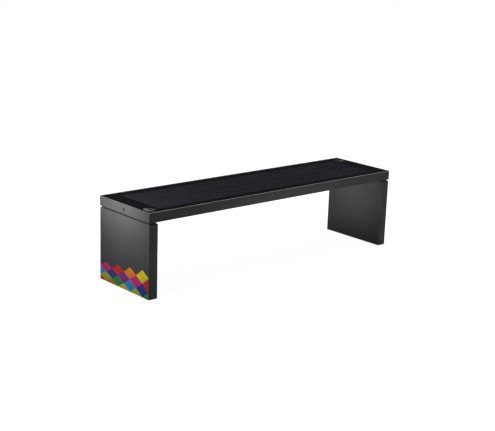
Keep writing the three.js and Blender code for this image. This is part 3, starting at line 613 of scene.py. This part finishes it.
# Locks: a flush cam lock in each end wall, dark nickel. The housing is pressed into the wall with
# a rubber ring round it, the plug turns in it and has a three-sided socket, and its tail carries
# the cam.
nickel = plated(
    "dark_nickel",
    ((0.007, 0.007, 0.0075), (0.01, 0.01, 0.0105), (0.014, 0.014, 0.015)),
    (0.4, 0.55), (900.0, 300.0, 300.0),
)
for side, sign in (("left", -1), ("right", 1)):
    low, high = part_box(f"{side}_lock_housing")
    place = Vector((low.x if sign < 0 else high.x, (low.y + high.y) / 2, (low.z + high.z) / 2))
    housing = turned(f"{side}_lock_body", [
        (0, 0.0044), (0, 0.0052), (-0.0003 * sign, 0.0055), (-0.014 * sign, 0.0055),
        (-0.014 * sign, 0.0043), (-0.0002 * sign, 0.0043), (0, 0.0044),
    ], "x", place, 48, hollow=True)
    fitted(housing, "bench", nickel, "lock_steel", f"{side}_lock_housing")
    ring = turned(f"{side}_lock_ring", [
        (-0.0008 * sign, 0.0056), (-0.0002 * sign, 0.0056), (-0.0001 * sign, 0.0058),
        (-0.0001 * sign, 0.0068), (-0.0003 * sign, 0.0071), (-0.0008 * sign, 0.0071),
        (-0.0008 * sign, 0.0056),
    ], "x", place, 48, hollow=True)
    fitted(ring, "bench", rubber, "seal_rubber")
    low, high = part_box(f"{side}_lock_plug")
    inner = (high.x if sign < 0 else low.x) - place.x
    plug = turned(f"{side}_lock_barrel", [
        (inner, 0.002), (-0.0143 * sign, 0.002), (-0.0143 * sign, 0.0038), (-0.014 * sign, 0.004),
        (-0.0013 * sign, 0.004), (-0.001 * sign, 0.0037),
    ], "x", place, 48)
    key = turned("key_socket", [(-0.006 * sign, 0.0026), (0.002 * sign, 0.0026)], "x", place, 3)
    carved(plug, key)
    bpy.ops.object.shade_smooth_by_angle(angle=math.radians(42))
    fitted(plug, f"{side}_lock", nickel, "lock_steel", f"{side}_lock_plug")
    cam = copied(f"{side}_lock_cam", f"{side}_lock_tongue", 0.0003)
    fitted(cam, f"{side}_lock", zinc, "zinc_steel", f"{side}_lock_cam")


# Hinge: a piano hinge along the rear edge, painted matt black. One leaf is welded to the tray's
# rear wall and one to the lid frame, with fifteen knuckles in turn on a plated pin.
low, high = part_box("hinge_pin")
axis_y, axis_z = (low.y + high.y) / 2, (low.z + high.z) / 2
start_x, end_x = low.x, high.x
knuckles, barrel, end_gap, leaf = 15, 0.0035, 0.0003, 0.002
knuckle_pitch = (end_x - start_x) / knuckles
for first, node, name, body in (
    (0, "tray_hinge_leaf", "tray_hinge_strip", "bench"), (1, "lid_hinge_leaf", "lid_hinge_strip", "lid")
):
    low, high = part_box(node)
    leaf_top = axis_z - barrel - 0.0006
    near = axis_y + barrel - leaf if first == 0 else axis_y - barrel
    parts = [block(name, (start_x, near, low.z), (end_x, near + leaf, leaf_top))]
    for number in range(first, knuckles, 2):
        a = start_x + number * knuckle_pitch + end_gap
        b = a + knuckle_pitch - 2 * end_gap
        parts.append(block("root", (a, near, leaf_top - leaf), (b, near + leaf, axis_z)))
        parts.append(turned("knuckle", [
            (a, 0.0032), (a + 0.0003, barrel), (b - 0.0003, barrel), (b, 0.0032),
        ], "x", (0, axis_y, axis_z), 28))
        face = near if first == 0 else near + leaf
        out = -1 if first == 0 else 1
        parts.append(turned("rivet", [
            (0, 0.0024), (0.0003 * out, 0.0023), (0.0006 * out, 0.0012), (0.0007 * out, 0.0004),
        ], "y", ((a + b) / 2, face, leaf_top - 0.005), 20))
    fitted(joined(name, *parts), body, matt_coat, "frame_paint", node)
pin = turned("hinge_rod", [
    (start_x, 0.001), (start_x + 0.0004, 0.0016), (end_x - 0.0004, 0.0016), (end_x, 0.001),
], "x", (0, axis_y, axis_z), 24)
fitted(pin, "bench", zinc, "zinc_steel", "hinge_pin")


# Lid frame: welded from flat bar, a flange all round, two skirts, a web for the hinge and four
# crossbars. The strikers hang from its ends for the lock cams.
fitted(copied("lid_frame", "lid_frame_welded", 0.0005), "lid", matt_coat, "frame_paint", "lid_frame")
for side in ("left", "right"):
    striker = copied(f"{side}_striker", f"{side}_striker_hook", 0.0004)
    fitted(striker, "lid", zinc, "zinc_steel", f"{side}_striker")


# Top glass: 8 mm toughened solar glass with ground edges, treated against glare, with a border of
# black enamel, on a bead of black sealant. What lies behind glass looks nearer than it is, so the
# enamel and the cells are drawn 2 mm below the upper face, and its soft sheen is on them.
glass, glass_shader, glass_place = material("solar_glass", {
    "Base Color": (0.006, 0.007, 0.008, 1), "Specular IOR Level": 0.0, "Alpha": 0.14,
})
(0.05 + 0.07 * noise(glass_place, 4.0, 3.0)).to(glass_shader, "Roughness")
bumped(noise(glass_place, 900.0, 1.0), 0.000001).to(glass_shader, "Normal")
glass_low, glass_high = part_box("top_glass")
pane = rounded(block("top_glass_pane", glass_low, glass_high), 0.0012)
fitted(pane, "lid", glass, "top_glass", "top_glass")

enamel = grained(
    "black_enamel",
    ((0.0012, 0.0012, 0.0013), (0.0015, 0.0015, 0.0016), (0.0019, 0.0019, 0.002)),
    (0.1, 0.18), 800.0, 0.000001, {"Specular IOR Level": 0.0005},
)
window_x, window_front, window_rear = 0.7985, -0.17, 0.178
print_level = glass_high.z - 0.0018
border = block("glass_border", (glass_low.x + 0.001, glass_low.y + 0.001, print_level - 0.0001),
               (glass_high.x - 0.001, glass_high.y - 0.001, print_level))
opening = block("opening", (-window_x, window_front, glass_low.z - 0.01),
                (window_x, window_rear, glass_low.z + 0.01))
round_uprights(opening, 0.004, 4)
carved(border, opening)
fitted(border, "lid", enamel, "bond_black")

sealant = grained(
    "black_sealant",
    ((0.008, 0.008, 0.008), (0.012, 0.012, 0.012), (0.016, 0.016, 0.016)),
    (0.4, 0.55), 260.0, 0.0003, {"Specular IOR Level": 0.35},
)
low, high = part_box("glass_bond")
bead = block("sealant_bead", low, (high.x, high.y, high.z - 0.00015))
width = 0.012
hole = block("hole", (low.x + width, low.y + width, low.z - 0.01),
             (high.x - width, high.y - width, high.z + 0.01))
carved(bead, hole)
fitted(rounded(bead, 0.0008), "lid", sealant, "bond_black", "glass_bond")


# Solar laminate: two rows of ten dark cells of 156 mm with cropped corners, joined by flat
# lengthwise ribbons on a black backing sheet, all glued to the underside of the glass.
low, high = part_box("solar_laminate")
backing = grained(
    "black_backing_sheet",
    ((0.018, 0.018, 0.02), (0.021, 0.021, 0.023), (0.025, 0.025, 0.027)),
    (0.45, 0.6), 300.0, 0.00008, {"Specular IOR Level": 0.2},
)
encapsulant = grained(
    "dark_encapsulant",
    ((0.008, 0.0076, 0.0106), (0.0088, 0.0083, 0.0114), (0.0096, 0.0091, 0.0124)),
    (0.32, 0.4), 300.0, 0.000001, {"Specular IOR Level": 0.0006},
)
laminate = rounded(block("laminate_sheet", low, (high.x, high.y, high.z - 0.0002)), 0.0006, 2)
fitted(laminate, "lid", backing, "solar_cells", "solar_laminate")
face_low = (low.x, low.y, print_level - 0.0006)
face = block("laminate_face", face_low, (high.x, high.y, print_level - 0.0004))
fitted(rounded(face, 0.00005, 1), "lid", encapsulant, "solar_cells")

silicon, silicon_shader, silicon_place = material(
    "solar_silicon", {"Specular IOR Level": 0.0006, "Roughness": 0.36}
)
fingers = coordinate(silicon_place, "X") * (1 / 0.0018)
finger_mask = fingers.maths("LESS_THAN", fingers.maths("FRACT", fingers), 0.09)
crystal = shaded(noise(silicon_place, 14.0, 2.0), (0.0092, 0.0087, 0.0128), (0.011, 0.0104, 0.0151))
mixed(0.1 * finger_mask, crystal, (0.04, 0.04, 0.044, 1)).to(silicon_shader, "Base Color")
bumped(noise(silicon_place, 900.0, 1.0), 0.000001).to(silicon_shader, "Normal")

cell_size, cell_pitch, row_pitch, cell_top = 0.156, 0.16, 0.166, print_level - 0.0002
middle_y = (low.y + high.y) / 2
first_x = -4.5 * cell_pitch
row_y = middle_y - row_pitch / 2
cell = block("solar_cells", (first_x - cell_size / 2, row_y - cell_size / 2, cell_top - 0.00012),
             (first_x + cell_size / 2, row_y + cell_size / 2, cell_top))
round_uprights(cell, 0.012, 3)


def repeated(piece, count, step):
    """Repeats a piece a number of times at a fixed step."""
    open_alone(piece)
    row = piece.modifiers.new("row", "ARRAY")
    row.count = count
    row.use_relative_offset, row.use_constant_offset = False, True
    row.constant_offset_displace = step
    bpy.ops.object.modifier_apply(modifier="row")
    return piece


repeated(repeated(cell, 10, (cell_pitch, 0, 0)), 2, (0, row_pitch, 0))
fitted(cell, "lid", silicon, "solar_cells")

ribbon_metal = plated(
    "tinned_ribbon",
    ((0.02, 0.02, 0.023), (0.026, 0.026, 0.03), (0.034, 0.034, 0.039)),
    (0.35, 0.5), (40.0, 900.0, 900.0),
)
ribbon_pitch, ribbon_top = 0.031, cell_top + 0.00006
ribbon_y = row_y - 2 * ribbon_pitch
ribbon = block("cell_ribbons", (-0.796, ribbon_y - 0.0005, cell_top),
               (0.7995, ribbon_y + 0.0005, ribbon_top))
repeated(repeated(ribbon, 5, (0, ribbon_pitch, 0)), 2, (0, row_pitch, 0))
bridge = block("ribbon_bridge", (0.799, row_y - 0.064, cell_top),
               (0.802, row_y + row_pitch + 0.064, ribbon_top))
fitted(joined("cell_ribbons", ribbon, bridge), "lid", ribbon_metal, "solar_cells")


# Charging marks: rings round a small bolt of lightning, printed over each charger, at the front
# left and the rear right corner. The ink runs from copper near the bench's end to dark grey.
mark_ink, mark_shader, mark_place = material(
    "copper_ink", {"Roughness": 0.2, "Specular IOR Level": 0.0005}
)
outward = coordinate(mark_place, "X")
outward = outward.maths("ABSOLUTE", outward) + 0.004 * noise(mark_place, 90.0)
outward.node("ShaderNodeValToRGB", {"stops": [
    (0.82, (0.035, 0.032, 0.032)), (0.848, (0.05, 0.044, 0.043)),
    (0.868, (0.2, 0.16, 0.15)), (0.884, (0.26, 0.21, 0.2)),
]}, {"Fac": outward}).to(mark_shader, "Base Color")
bumped(noise(mark_place, 900.0), 0.00003).to(mark_shader, "Normal")
mark_low, mark_high = print_level + 0.00004, print_level + 0.0001
bolt_outline = ((2.2, 9.0), (-4.6, -1.2), (-0.6, -1.2), (-2.2, -9.0), (4.6, 1.2), (0.6, 1.2))
for side in ("left", "right"):
    low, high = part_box(f"{side}_charger_housing")
    middle = (low + high) / 2
    rings = []
    for inner, outer in ((0.029, 0.0315), (0.019, 0.0255), (0.0105, 0.015)):
        rings.append(turned("ring", [
            (mark_low, inner), (mark_high, inner), (mark_high, outer), (mark_low, outer),
            (mark_low, inner),
        ], "z", (middle.x, middle.y, 0), 64, hollow=True))
    bpy.ops.mesh.primitive_circle_add(vertices=6, fill_type="NGON", location=(middle.x, middle.y, 0))
    flash = bpy.context.object
    for corner, (x, y) in zip(flash.data.vertices, bolt_outline):
        corner.co = (x * 0.001, y * 0.001, mark_low)
    bpy.ops.object.mode_set(mode="EDIT")
    bpy.ops.mesh.extrude_region_move(
        TRANSFORM_OT_translate={"value": (0, 0, mark_high - mark_low)}
    )
    bpy.ops.mesh.select_all(action="SELECT")
    bpy.ops.mesh.normals_make_consistent(inside=False)
    bpy.ops.object.mode_set(mode="OBJECT")
    bpy.ops.object.transform_apply(location=True, rotation=True, scale=True)
    fitted(joined(f"{side}_charging_mark", *rings, flash), "lid", mark_ink, "charging_mark")


# Wireless chargers: a black moulded cup is bonded under the glass at each mark, and in it lies a
# flat spiral of enamelled copper wire.
moulding = grained(
    "black_moulding",
    ((0.014, 0.014, 0.015), (0.019, 0.019, 0.02), (0.025, 0.025, 0.026)),
    (0.5, 0.65), 900.0, 0.00015, {"Specular IOR Level": 0.35},
)
copper = plated(
    "enamelled_copper",
    ((0.42, 0.17, 0.07), (0.56, 0.25, 0.11), (0.7, 0.36, 0.18)),
    (0.25, 0.4), (200.0, 200.0, 200.0),
)


def swept(curve):
    """Turns a curve with a round section into a smooth mesh piece of the same name."""
    piece = bpy.data.objects.new(curve.name, curve)
    bpy.context.scene.collection.objects.link(piece)
    open_alone(piece)
    bpy.ops.object.convert(target="MESH")
    bpy.ops.object.shade_smooth_by_angle(angle=math.radians(60))
    return bpy.context.object


for side in ("left", "right"):
    low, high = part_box(f"{side}_charger_housing")
    middle = (low + high) / 2
    cup = turned(f"{side}_charger_cup", [
        (low.z + 0.002, 0.0238), (low.z + 0.002, 0.001), (low.z + 0.0004, 0.001),
        (low.z + 0.0004, 0.007), (low.z, 0.0074), (low.z, 0.0246), (low.z + 0.0004, 0.0252),
        (low.z + 0.0012, 0.0256), (high.z - 0.002, 0.0256), (high.z - 0.0018, 0.026),
        (high.z, 0.026), (high.z, 0.024), (low.z + 0.002, 0.0238),
    ], "z", (middle.x, middle.y, 0), 64, hollow=True)
    fitted(cup, "lid", moulding, "black_plastic", f"{side}_charger_housing")
    low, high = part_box(f"{side}_charger_coil")
    winding = bpy.data.curves.new(f"{side}_coil_winding", "CURVE")
    winding.dimensions, winding.bevel_depth, winding.bevel_resolution = "3D", 0.0006, 1
    spiral = winding.splines.new("POLY")
    turns, steps = 9, 28
    spiral.points.add(turns * steps)
    for i, point in enumerate(spiral.points):
        angle = 2 * math.pi * i / steps
        radius = 0.0098 + 0.00128 * i / steps
        point.co = (middle.x + radius * math.cos(angle), middle.y + radius * math.sin(angle),
                    low.z + 0.0007, 1)
    fitted(swept(winding), "lid", copper, "coil_copper", f"{side}_charger_coil")


# Junction box: a moulded box glued to the back of the laminate, with a screwed cover and three
# ribbed cable glands for the leads.
low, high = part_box("panel_junction_box")
low, high = low + Vector((0.01, 0, 0)), high - Vector((0.01, 0, 0))
box = block("junction_box_body", low, high)
round_uprights(box, 0.004, 4)
pick(box, "FACE", lambda centre, normal: normal.z < -0.9)
bpy.ops.mesh.inset(thickness=0.0022)
bpy.ops.mesh.extrude_region_move(TRANSFORM_OT_translate={"value": (0, 0, 0.0007)})
bpy.ops.mesh.inset(thickness=0.001)
bpy.ops.mesh.extrude_region_move(TRANSFORM_OT_translate={"value": (0, 0, -0.0006)})
bpy.ops.object.mode_set(mode="OBJECT")
parts = [rounded(box, 0.0004, 2)]
for x in (low.x + 0.008, high.x - 0.008):
    for y in (low.y + 0.008, high.y - 0.008):
        screw = turned("screw", [
            (low.z + 0.0002, 0.0026), (low.z + 0.00005, 0.0024), (low.z + 0.00005, 0.0011),
            (low.z + 0.0008, 0.0009),
        ], "z", (x, y, 0), 20)
        parts.append(screw)
gland_level = (low.z + high.z) / 2
for face, out, y in ((low.x, -1, 0.075), (low.x, -1, 0.105), (high.x, 1, 0.09)):
    parts.append(turned("gland_nut", [
        (0, 0.0068), (0.0035 * out, 0.0068), (0.0037 * out, 0.0062),
    ], "x", (face, y, gland_level), 6))
    parts.append(turned("gland", [
        (0.0036 * out, 0.0058), (0.0042 * out, 0.0058), (0.0046 * out, 0.0054), (0.0052 * out, 0.0058),
        (0.0058 * out, 0.0054), (0.0064 * out, 0.0058), (0.0085 * out, 0.0052), (0.0098 * out, 0.0036),
        (0.01 * out, 0.0028),
    ], "x", (face, y, gland_level), 32))
fitted(joined("junction_box", *parts), "lid", moulding, "black_plastic", "panel_junction_box")


# Gas struts: one each side holds the lid. A gloss black cylinder is pinned to a stud on the lid
# frame, and its ground steel rod ends in an eye at a bracket on the tray floor.
gloss_black = grained(
    "gloss_black_coat",
    ((0.008, 0.008, 0.0085), (0.011, 0.011, 0.0115), (0.015, 0.015, 0.0155)),
    (0.14, 0.22), 300.0, 0.00004, {"Specular IOR Level": 0.5, "Coat Weight": 0.4, "Coat Roughness": 0.08},
)
ground_steel = plated(
    "ground_steel",
    ((0.55, 0.56, 0.57), (0.63, 0.64, 0.65), (0.7, 0.71, 0.72)),
    (0.1, 0.18), (900.0, 60.0, 900.0),
)


def eye(name, centre, hole):
    """A flat eye across the bench's length, 6 mm wide and 12 mm across, with rounded rims."""
    ring = [(-0.003, hole), (-0.003, 0.0054), (-0.0024, 0.006), (0.0024, 0.006), (0.003, 0.0054),
            (0.003, hole), (-0.003, hole)]
    return turned(name, ring, "x", centre, 40, hollow=True)


for side in ("left", "right"):
    low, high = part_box(f"{side}_strut_cylinder")
    centre = Vector(((low.x + high.x) / 2, low.y + 0.006, (low.z + high.z) / 2))
    start, end = low.y + 0.015, high.y
    tube = turned("tube", [
        (start, 0.003), (start, 0.0064), (start + 0.0012, 0.0073), (start + 0.003, 0.0075),
        (end - 0.0115, 0.0075), (end - 0.0107, 0.0069), (end - 0.009, 0.0069), (end - 0.0082, 0.0075),
        (end - 0.0016, 0.0075), (end - 0.0004, 0.0068), (end, 0.0056), (end, 0.0036),
        (end - 0.006, 0.0034),
    ], "y", (centre.x, 0, centre.z), 48)
    neck = turned("neck", [(centre.y + 0.0048, 0.003), (start + 0.001, 0.003)], "y",
                  (centre.x, 0, centre.z), 32)
    cylinder = joined(f"{side}_strut_tube", tube, neck, eye("eye", centre, 0.0033))
    fitted(cylinder, f"{side}_strut_barrel", gloss_black, "strut_black", f"{side}_strut_cylinder")
    low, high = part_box(f"{side}_strut_rod")
    centre = Vector(((low.x + high.x) / 2, high.y - 0.006, (low.z + high.z) / 2))
    shaft = turned("shaft", [
        (low.y, 0.0028), (low.y + 0.0004, 0.003), (centre.y - 0.0125, 0.003),
        (centre.y - 0.0125, 0.0042), (centre.y - 0.0122, 0.0044), (centre.y - 0.0062, 0.0044),
        (centre.y - 0.0048, 0.0036),
    ], "y", (centre.x, 0, centre.z), 32)
    rod_eye = turned("eye", [
        (-0.003, 0.0052), (-0.0024, 0.006), (0.0024, 0.006), (0.003, 0.0052), (0.003, 0.003),
        (0.0024, 0.0026), (0.0024, 0.0005),
    ], "x", centre, 40)
    rod = joined(f"{side}_strut_shaft", shaft, rod_eye)
    fitted(rod, f"{side}_strut_piston", ground_steel, "strut_rod_steel", f"{side}_strut_rod")
    bracket = copied(f"{side}_strut_bracket", f"{side}_strut_foot", 0.0005)
    fitted(bracket, "bench", matt_coat, "frame_paint", f"{side}_strut_bracket")


# Battery: a flat moulded case in blue plastic with upright ribs, under a black cover with six
# vent caps. Two plated steel straps screw it down to the tray.
blue_moulding = grained(
    "blue_moulding",
    ((0.02, 0.055, 0.13), (0.026, 0.068, 0.155), (0.033, 0.08, 0.18)),
    (0.4, 0.55), 700.0, 0.00015, {"Specular IOR Level": 0.4},
)
low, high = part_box("battery_case")
case = rounded(block("case", low, high), 0.003, 4)
rib = block("ribs", (low.x + 0.02, low.y - 0.001, low.z + 0.002),
            (low.x + 0.022, high.y + 0.001, high.z - 0.002))
repeated(rounded(rib, 0.0004, 2), 18, (0.02, 0, 0))
fitted(joined("battery_shell", case, rib), "bench", blue_moulding, "battery_blue", "battery_case")
low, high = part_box("battery_cover")
cover = block("cover", low, high)
round_uprights(cover, 0.007, 5)
sunk(cover, 0.005, 0.0008)
parts = [rounded(cover, 0.0006, 2)]
for number in range(6):
    x = low.x + 0.05 + 0.0568 * number
    parts.append(turned("cap", [
        (high.z - 0.001, 0.0078), (high.z - 0.0002, 0.0078), (high.z + 0.0001, 0.0074),
        (high.z + 0.0001, 0.003), (high.z - 0.0003, 0.0028),
    ], "z", (x, 0, 0), 32))
fitted(joined("battery_lid", *parts), "bench", moulding, "black_plastic", "battery_cover")
for number in (1, 2):
    low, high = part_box(f"battery_strap_{number}")
    parts = [copied(f"battery_strap_{number}", "band", 0.0004)]
    middle_x = (low.x + high.x) / 2
    for y in (low.y + 0.008, high.y - 0.008):
        base = low.z + 0.0015
        head = turned("head", [
            (base, 0.0045), (base + 0.0002, 0.0048), (base + 0.0028, 0.0048), (base + 0.0032, 0.0044),
        ], "z", (middle_x, y, 0), 6)
        washer = turned("washer", [(base, 0.0058), (base + 0.0006, 0.0058)], "z", (middle_x, y, 0), 28)
        parts += [head, washer]
    strap = joined(f"battery_band_{number}", *parts)
    fitted(strap, "bench", zinc, "zinc_steel", f"battery_strap_{number}")


# Charge controller: a black moulded case with a recessed panel, three small lights and a button,
# screwed on a finned aluminium heat sink that stands on the tray floor.
alloy = plated(
    "extruded_alloy",
    ((0.38, 0.385, 0.39), (0.46, 0.465, 0.47), (0.54, 0.545, 0.55)),
    (0.34, 0.48), (12.0, 900.0, 900.0),
)
sink = copied("controller_heat_sink", "controller_fins", 0.0003)
fitted(sink, "bench", alloy, "heat_sink_alloy", "controller_heat_sink")
low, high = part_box("controller_case")
case = block("case", low, high)
round_uprights(case, 0.012, 6)
sunk(case, 0.009, 0.0008)
parts = [rounded(case, 0.0008, 3)]
for x in (low.x + 0.016, high.x - 0.016):
    for y in (low.y + 0.016, high.y - 0.016):
        parts.append(turned("screw", [
            (high.z - 0.001, 0.0028), (high.z - 0.0004, 0.0028), (high.z - 0.0002, 0.0024),
            (high.z - 0.0002, 0.0012), (high.z - 0.0009, 0.001),
        ], "z", (x, y, 0), 24))
parts.append(turned("button", [
    (high.z - 0.001, 0.005), (high.z - 0.0004, 0.005), (high.z - 0.0001, 0.0046), (high.z, 0.0036),
], "z", (high.x - 0.03, 0, 0), 32))
fitted(joined("controller_cover", *parts), "bench", moulding, "black_plastic", "controller_case")
lights = [turned("light", [
    (high.z - 0.001, 0.0016), (high.z - 0.0004, 0.0016), (high.z - 0.0001, 0.0012), (high.z, 0.0005),
], "z", (low.x + 0.03 + 0.012 * i, 0.02, 0), 20) for i in range(3)]
lens = grained(
    "green_lens", ((0.05, 0.34, 0.08), (0.07, 0.42, 0.1), (0.1, 0.5, 0.14)),
    (0.15, 0.25), 500.0, 0.00005, {"Specular IOR Level": 0.5},
)
fitted(joined("controller_lights", *lights), "bench", lens, "terminal_green")


# Terminal block: green moulding with a shelf on each side for the leads and five slots, each with
# a plated clamp screw.
green_moulding = grained(
    "green_moulding",
    ((0.035, 0.13, 0.055), (0.045, 0.16, 0.068), (0.058, 0.19, 0.085)),
    (0.42, 0.55), 900.0, 0.0001, {"Specular IOR Level": 0.4},
)
terminals = copied("terminal_block", "terminal_body", 0.0004)
fitted(terminals, "bench", green_moulding, "terminal_green", "terminal_block")
low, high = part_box("terminal_block")
middle = (low + high) / 2
screws = []
for number in range(5):
    y = middle.y + 0.011 * (number - 2)
    floor_level = high.z - 0.007
    head = turned("screw", [
        (floor_level, 0.0025), (floor_level + 0.002, 0.0025), (floor_level + 0.0026, 0.002),
    ], "z", (middle.x, y, 0), 24)
    groove = block("groove", (middle.x - 0.004, y - 0.0004, floor_level + 0.0014),
                   (middle.x + 0.004, y + 0.0004, floor_level + 0.004))
    screws.append(carved(head, groove))
fitted(joined("terminal_screws", *screws), "bench", zinc, "zinc_steel")


# Leads: black sheathed cables, clipped along the lid frame and the tray. The hinge lead crosses
# from the terminal block to the lid, and twists along its run beside the hinge.
sheath = grained(
    "black_sheath",
    ((0.011, 0.011, 0.011), (0.015, 0.015, 0.015), (0.02, 0.02, 0.02)),
    (0.4, 0.52), 500.0, 0.00008, {"Specular IOR Level": 0.4},
)
lead_routes = {
    "battery_lead": (0.0035, "bench", [
        (-333.0, 40.0, 424.9), (-311.0, 40.0, 424.9), (-283.7, 36.0, 419.8), (-242.1, 24.0, 417.3),
        (-192.8, 8.0, 417.3), (-125.2, 1.2, 419.8), (-96.7, 0.0, 428.0), (-83.7, 0.0, 432.0),
        (-73.3, 0.0, 432.0),
    ]),
    "supply_lead": (0.0025, "bench", [
        (73.3, 0.0, 432.0), (85.1, 0.0, 432.0), (97.5, 3.0, 426.2), (108.8, 5.0, 418.5),
        (124.7, 5.0, 418.5),
    ]),
    "hinge_lead": (0.0025, None, [
        (175.3, 0.0, 418.5), (190.4, 0.0, 418.5), (209.3, 24.1, 417.5), (217.2, 89.8, 417.5),
        (225.2, 150.1, 420.5), (247.2, 175.6, 429.0), (320.0, 179.5, 435.2), (385.0, 179.5, 437.2),
        (418.0, 173.5, 437.2), (435.0, 144.5, 441.7), (445.0, 119.0, 442.7), (457.0, 105.0, 442.7),
        (468.0, 105.0, 442.7),
    ]),
    "left_charger_lead": (0.0025, "lid", [
        (468.0, 75.0, 442.7), (454.0, 75.0, 442.7), (436.0, 61.0, 440.7), (427.1, 20.0, 437.2),
        (424.0, -99.9, 437.2), (416.8, -150.0, 437.2), (400.2, -175.4, 437.2), (374.1, -184.0, 437.2),
        (340.0, -184.5, 437.2), (219.7, -184.5, 437.2), (0.3, -184.5, 437.2), (-249.5, -184.5, 437.2),
        (-500.4, -184.5, 437.2), (-699.5, -184.5, 437.2), (-785.0, -184.5, 436.2),
        (-797.7, -184.5, 436.7), (-808.0, -169.5, 442.7), (-814.0, -158.5, 447.7),
        (-821.4, -155.5, 448.7),
    ]),
    "right_charger_lead": (0.0025, "lid", [
        (578.6, 90.0, 442.7), (594.1, 90.0, 442.7), (613.9, 104.0, 440.7), (630.0, 150.0, 437.2),
        (655.0, 177.5, 437.2), (710.1, 179.5, 437.2), (785.0, 179.5, 436.2), (797.7, 179.5, 436.7),
        (808.0, 167.1, 442.7), (814.0, 158.0, 447.7), (821.4, 155.5, 448.7),
    ]),
}
for name, (radius, body, points) in lead_routes.items():
    cable = bpy.data.curves.new(f"{name}_cable", "CURVE")
    cable.dimensions, cable.bevel_depth, cable.bevel_resolution = "3D", radius, 3
    cable.resolution_u, cable.use_fill_caps = 8, True
    run = cable.splines.new("BEZIER")
    run.bezier_points.add(len(points) - 1)
    for knot, point in zip(run.bezier_points, points):
        knot.co = Vector(point) * 0.001
        knot.handle_left_type = knot.handle_right_type = "AUTO"
    piece = swept(cable)
    piece.data.materials.append(sheath)
    if body:
        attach(piece, body)
    else:
        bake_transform(piece)
    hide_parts(name)


# Cable clips: small nylon saddles hold the charger leads along both skirts of the lid frame.
lead_level = 0.4372


def clip(name, x, y, wall):
    """A clip round a lead, with its tab on the skirt's face at y = wall."""
    hoop = turned("hoop", [
        (x - 0.004, 0.0026), (x - 0.004, 0.0032), (x + 0.004, 0.0032), (x + 0.004, 0.0026),
        (x - 0.004, 0.0026),
    ], "x", (0, y, lead_level), 28, hollow=True)
    out = 1 if y > wall else -1
    face = wall + 0.001 * out
    tab = block("tab", (x - 0.004, min(wall, face), lead_level + 0.0013),
                (x + 0.004, max(wall, face), lead_level + 0.0103))
    rivet_place = (x, face, lead_level + 0.0073)
    rivet = turned("rivet", [(0, 0.0022), (0.0006 * out, 0.0018)], "y", rivet_place, 20)
    return joined(name, hoop, tab, rivet)


front_clips = [clip("clip", x, -0.1845, -0.187) for x in (-0.66, -0.44, -0.14, 0.1, 0.33)]
rear_clips = [clip("clip", x, 0.1795, 0.182) for x in (0.7, 0.755)]
fitted(joined("lead_clips", *front_clips, *rear_clips), "lid", moulding, "black_plastic")

bpy.context.view_layer.update()
